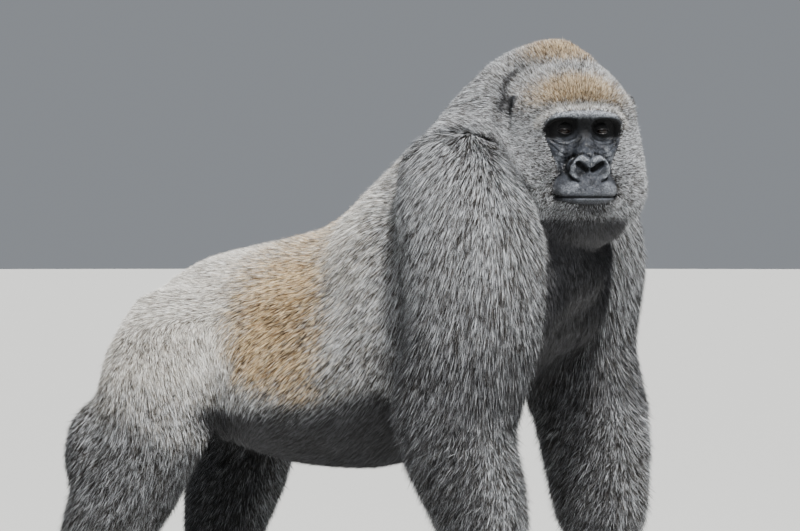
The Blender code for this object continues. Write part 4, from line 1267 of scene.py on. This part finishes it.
def addNail(shape, limb, start, aim, tip, size, surface):  # one curved plate where a ray meets the skin
    spot, facing = surface.ray_cast(Vector(start), Vector(aim))[:2]
    facing = (facing.normalized() - Vector(aim).normalized()).normalized()
    along = (Vector(tip) - facing * facing.dot(Vector(tip))).normalized()
    across = along.cross(facing)
    plate = bmesh.ops.create_grid(shape, x_segments=8, y_segments=6, size=0.5)["verts"]
    wide, long = size
    for corner in plate:
        side, reach = corner.co.x, corner.co.y
        narrow = 1 - nailSet["taper"] * max(reach - 0.1, 0) / 0.4 * abs(reach) * 2
        fall = nailSet["arch"][limb] * (2 * side) ** 2 * wide * narrow
        lift = nailSet["stand"][limb] - fall - nailSet["tipFall"] * wide * max(reach, 0) ** 2
        corner.co = spot + across * side * wide * narrow + along * reach * long + facing * lift


def makeNails(limb, side, plates):
    surface = BVHTree.FromPolygons(points.tolist(), corners.tolist())
    shape = bmesh.new()
    for plate in plates:
        addNail(shape, limb, *plate, surface)
    bmesh.ops.recalc_face_normals(shape, faces=shape.faces)
    bmesh.ops.solidify(shape, geom=shape.faces[:], thickness=nailSet["shell"])
    bmesh.ops.recalc_face_normals(shape, faces=shape.faces)
    mesh = bpy.data.meshes.new("nails_" + limb + "_" + side)
    shape.to_mesh(mesh)
    shape.free()
    mesh.shade_smooth()
    obj = addObject("nails_" + limb + "_" + side, mesh)
    rounded = obj.modifiers.new("round", "SUBSURF")
    rounded.levels = rounded.render_levels = 1
    return obj


def handNails(side):
    hand = 1 if side == "left" else -1
    wrist, front = wristOf("hand_" + side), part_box("hand_" + side)[0][1]
    plates = []
    for across in nailSet["fingerAcross"]:
        start = (wrist[0] + hand * across, front + nailSet["behind"], nailSet["fingerHeight"])
        plates.append((start, (0, -1, 0), (0, 0, 1), nailSet["finger"]))
    back, height = nailSet["thumbPlace"]
    inner = (wrist[0] - hand * nailSet["inside"], front + back, height)
    plates.append((inner, (hand, 0, 0), (0, 0, -1), nailSet["thumb"]))
    return makeNails("hand", side, plates)


def footNails(side):
    hand = 1 if side == "left" else -1
    low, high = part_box("foot_" + side)
    aside, behind = nailSet["ankle"]
    ankle = ((high if hand > 0 else low)[0] - hand * aside, low[1] + behind)
    turn = Matrix.Rotation(hand * radians(nailSet["splay"][side]), 3, "Z")
    ahead = turn @ Vector((0, -1, 0))
    plates = []
    toes = [(spot, nailSet["toe"]) for spot in nailSet["toePlaces"]]
    for (across, reach), size in toes + [(nailSet["greatToePlace"], nailSet["greatToe"])]:
        spot = Vector((*ankle, nailSet["above"])) + turn @ Vector((hand * across, -reach, 0))
        plates.append((spot, (0, 0, -1), ahead, size))
    return makeNails("foot", side, plates)


def nailMaterial():
    material, tree, shader = newMaterial("nail")
    where = place(tree, "TexCoord").outputs["Object"]
    cloudy = noiseAt(tree, where, 160.0, 3.0, 0.6)
    dark, pale = nailSet["tone"]
    wire(tree, shader, Base_Color=ramp(tree, cloudy, ((0.3, dark), (0.75, pale))),
         Roughness=spread(tree, cloudy, 0.3, 0.7, 0.42, 0.62),
         Normal=bumpFrom(tree, noiseAt(tree, where, 1400.0), 0.4, 0.0003))
    return material


horn = nailMaterial()
for side in ("left", "right"):
    give(handNails(side), horn)
    give(footNails(side), horn)
print("nails: done")


viewSet = {
    "aim": (-0.0014, -0.0781, 0.692),
    "azimuth": -63.0,
    "distance": 7.07,
    "rise": 0.93,  # degrees that the camera looks down
    "lens": 162.0,
    "floorReach": 40.0,
    "floorTone": (0.62, 0.62, 0.60, 1),
    "skyTone": (0.80, 0.85, 0.92, 1),
    "skyStrength": 0.32,
    "lights": {  # kind, strength, the side it shines from, width in degrees or metres, and tone
        "key": ("SUN", 6.2, (-0.36, -0.50, 1.30), 5, (1.0, 0.985, 0.96)),
        "fill": ("SUN", 0.7, (0.7, 0.5, 0.6), 60, (0.9, 0.95, 1.0)),
        "top": ("AREA", 60.0, (-1.9, -1.5, 2.7), 1.5, (1, 1, 1)),
    },
}


def addLight(name, kind, energy, aim, size, tone):
    lamp = bpy.data.lights.new(name, kind)
    lamp.energy = energy
    lamp.color = tone
    obj = bpy.data.objects.new(name, lamp)
    bpy.context.scene.collection.objects.link(obj)
    obj.rotation_euler = Vector(aim).to_track_quat("Z", "Y").to_euler()
    if kind == "SUN":
        lamp.angle = radians(size)
    else:
        lamp.size = size
        obj.location = aim
    return obj


for name, settings in viewSet["lights"].items():
    addLight(name, *settings)
world = bpy.data.worlds.new("studio")
world.use_nodes = True
even(world.node_tree.nodes["Background"], Color=viewSet["skyTone"], Strength=viewSet["skyStrength"])
bpy.context.scene.world = world

ground = bmesh.new()
bmesh.ops.create_circle(ground, cap_ends=True, segments=64, radius=viewSet["floorReach"])
floorMesh = bpy.data.meshes.new("floor")
ground.to_mesh(floorMesh)
ground.free()
floor = addObject("floor", floorMesh)
floorMaterial = newMaterial("floor")[0]
even(floorMaterial.node_tree.nodes["Principled BSDF"], Base_Color=viewSet["floorTone"], Roughness=0.8)
floorMesh.materials.append(floorMaterial)

camera = bpy.data.cameras.new("camera")
camera.lens = viewSet["lens"]
camera.sensor_width = 36.0
cameraObject = bpy.data.objects.new("camera", camera)
bpy.context.scene.collection.objects.link(cameraObject)
turn, drop = radians(viewSet["azimuth"]), radians(viewSet["rise"])
away = Vector((sin(turn) * cos(drop), -cos(turn) * cos(drop), sin(drop)))
cameraObject.location = Vector(viewSet["aim"]) + away * viewSet["distance"]
cameraObject.rotation_euler = (-away).to_track_quat("-Z", "Y").to_euler()
bpy.context.scene.camera = cameraObject

print("view: done")
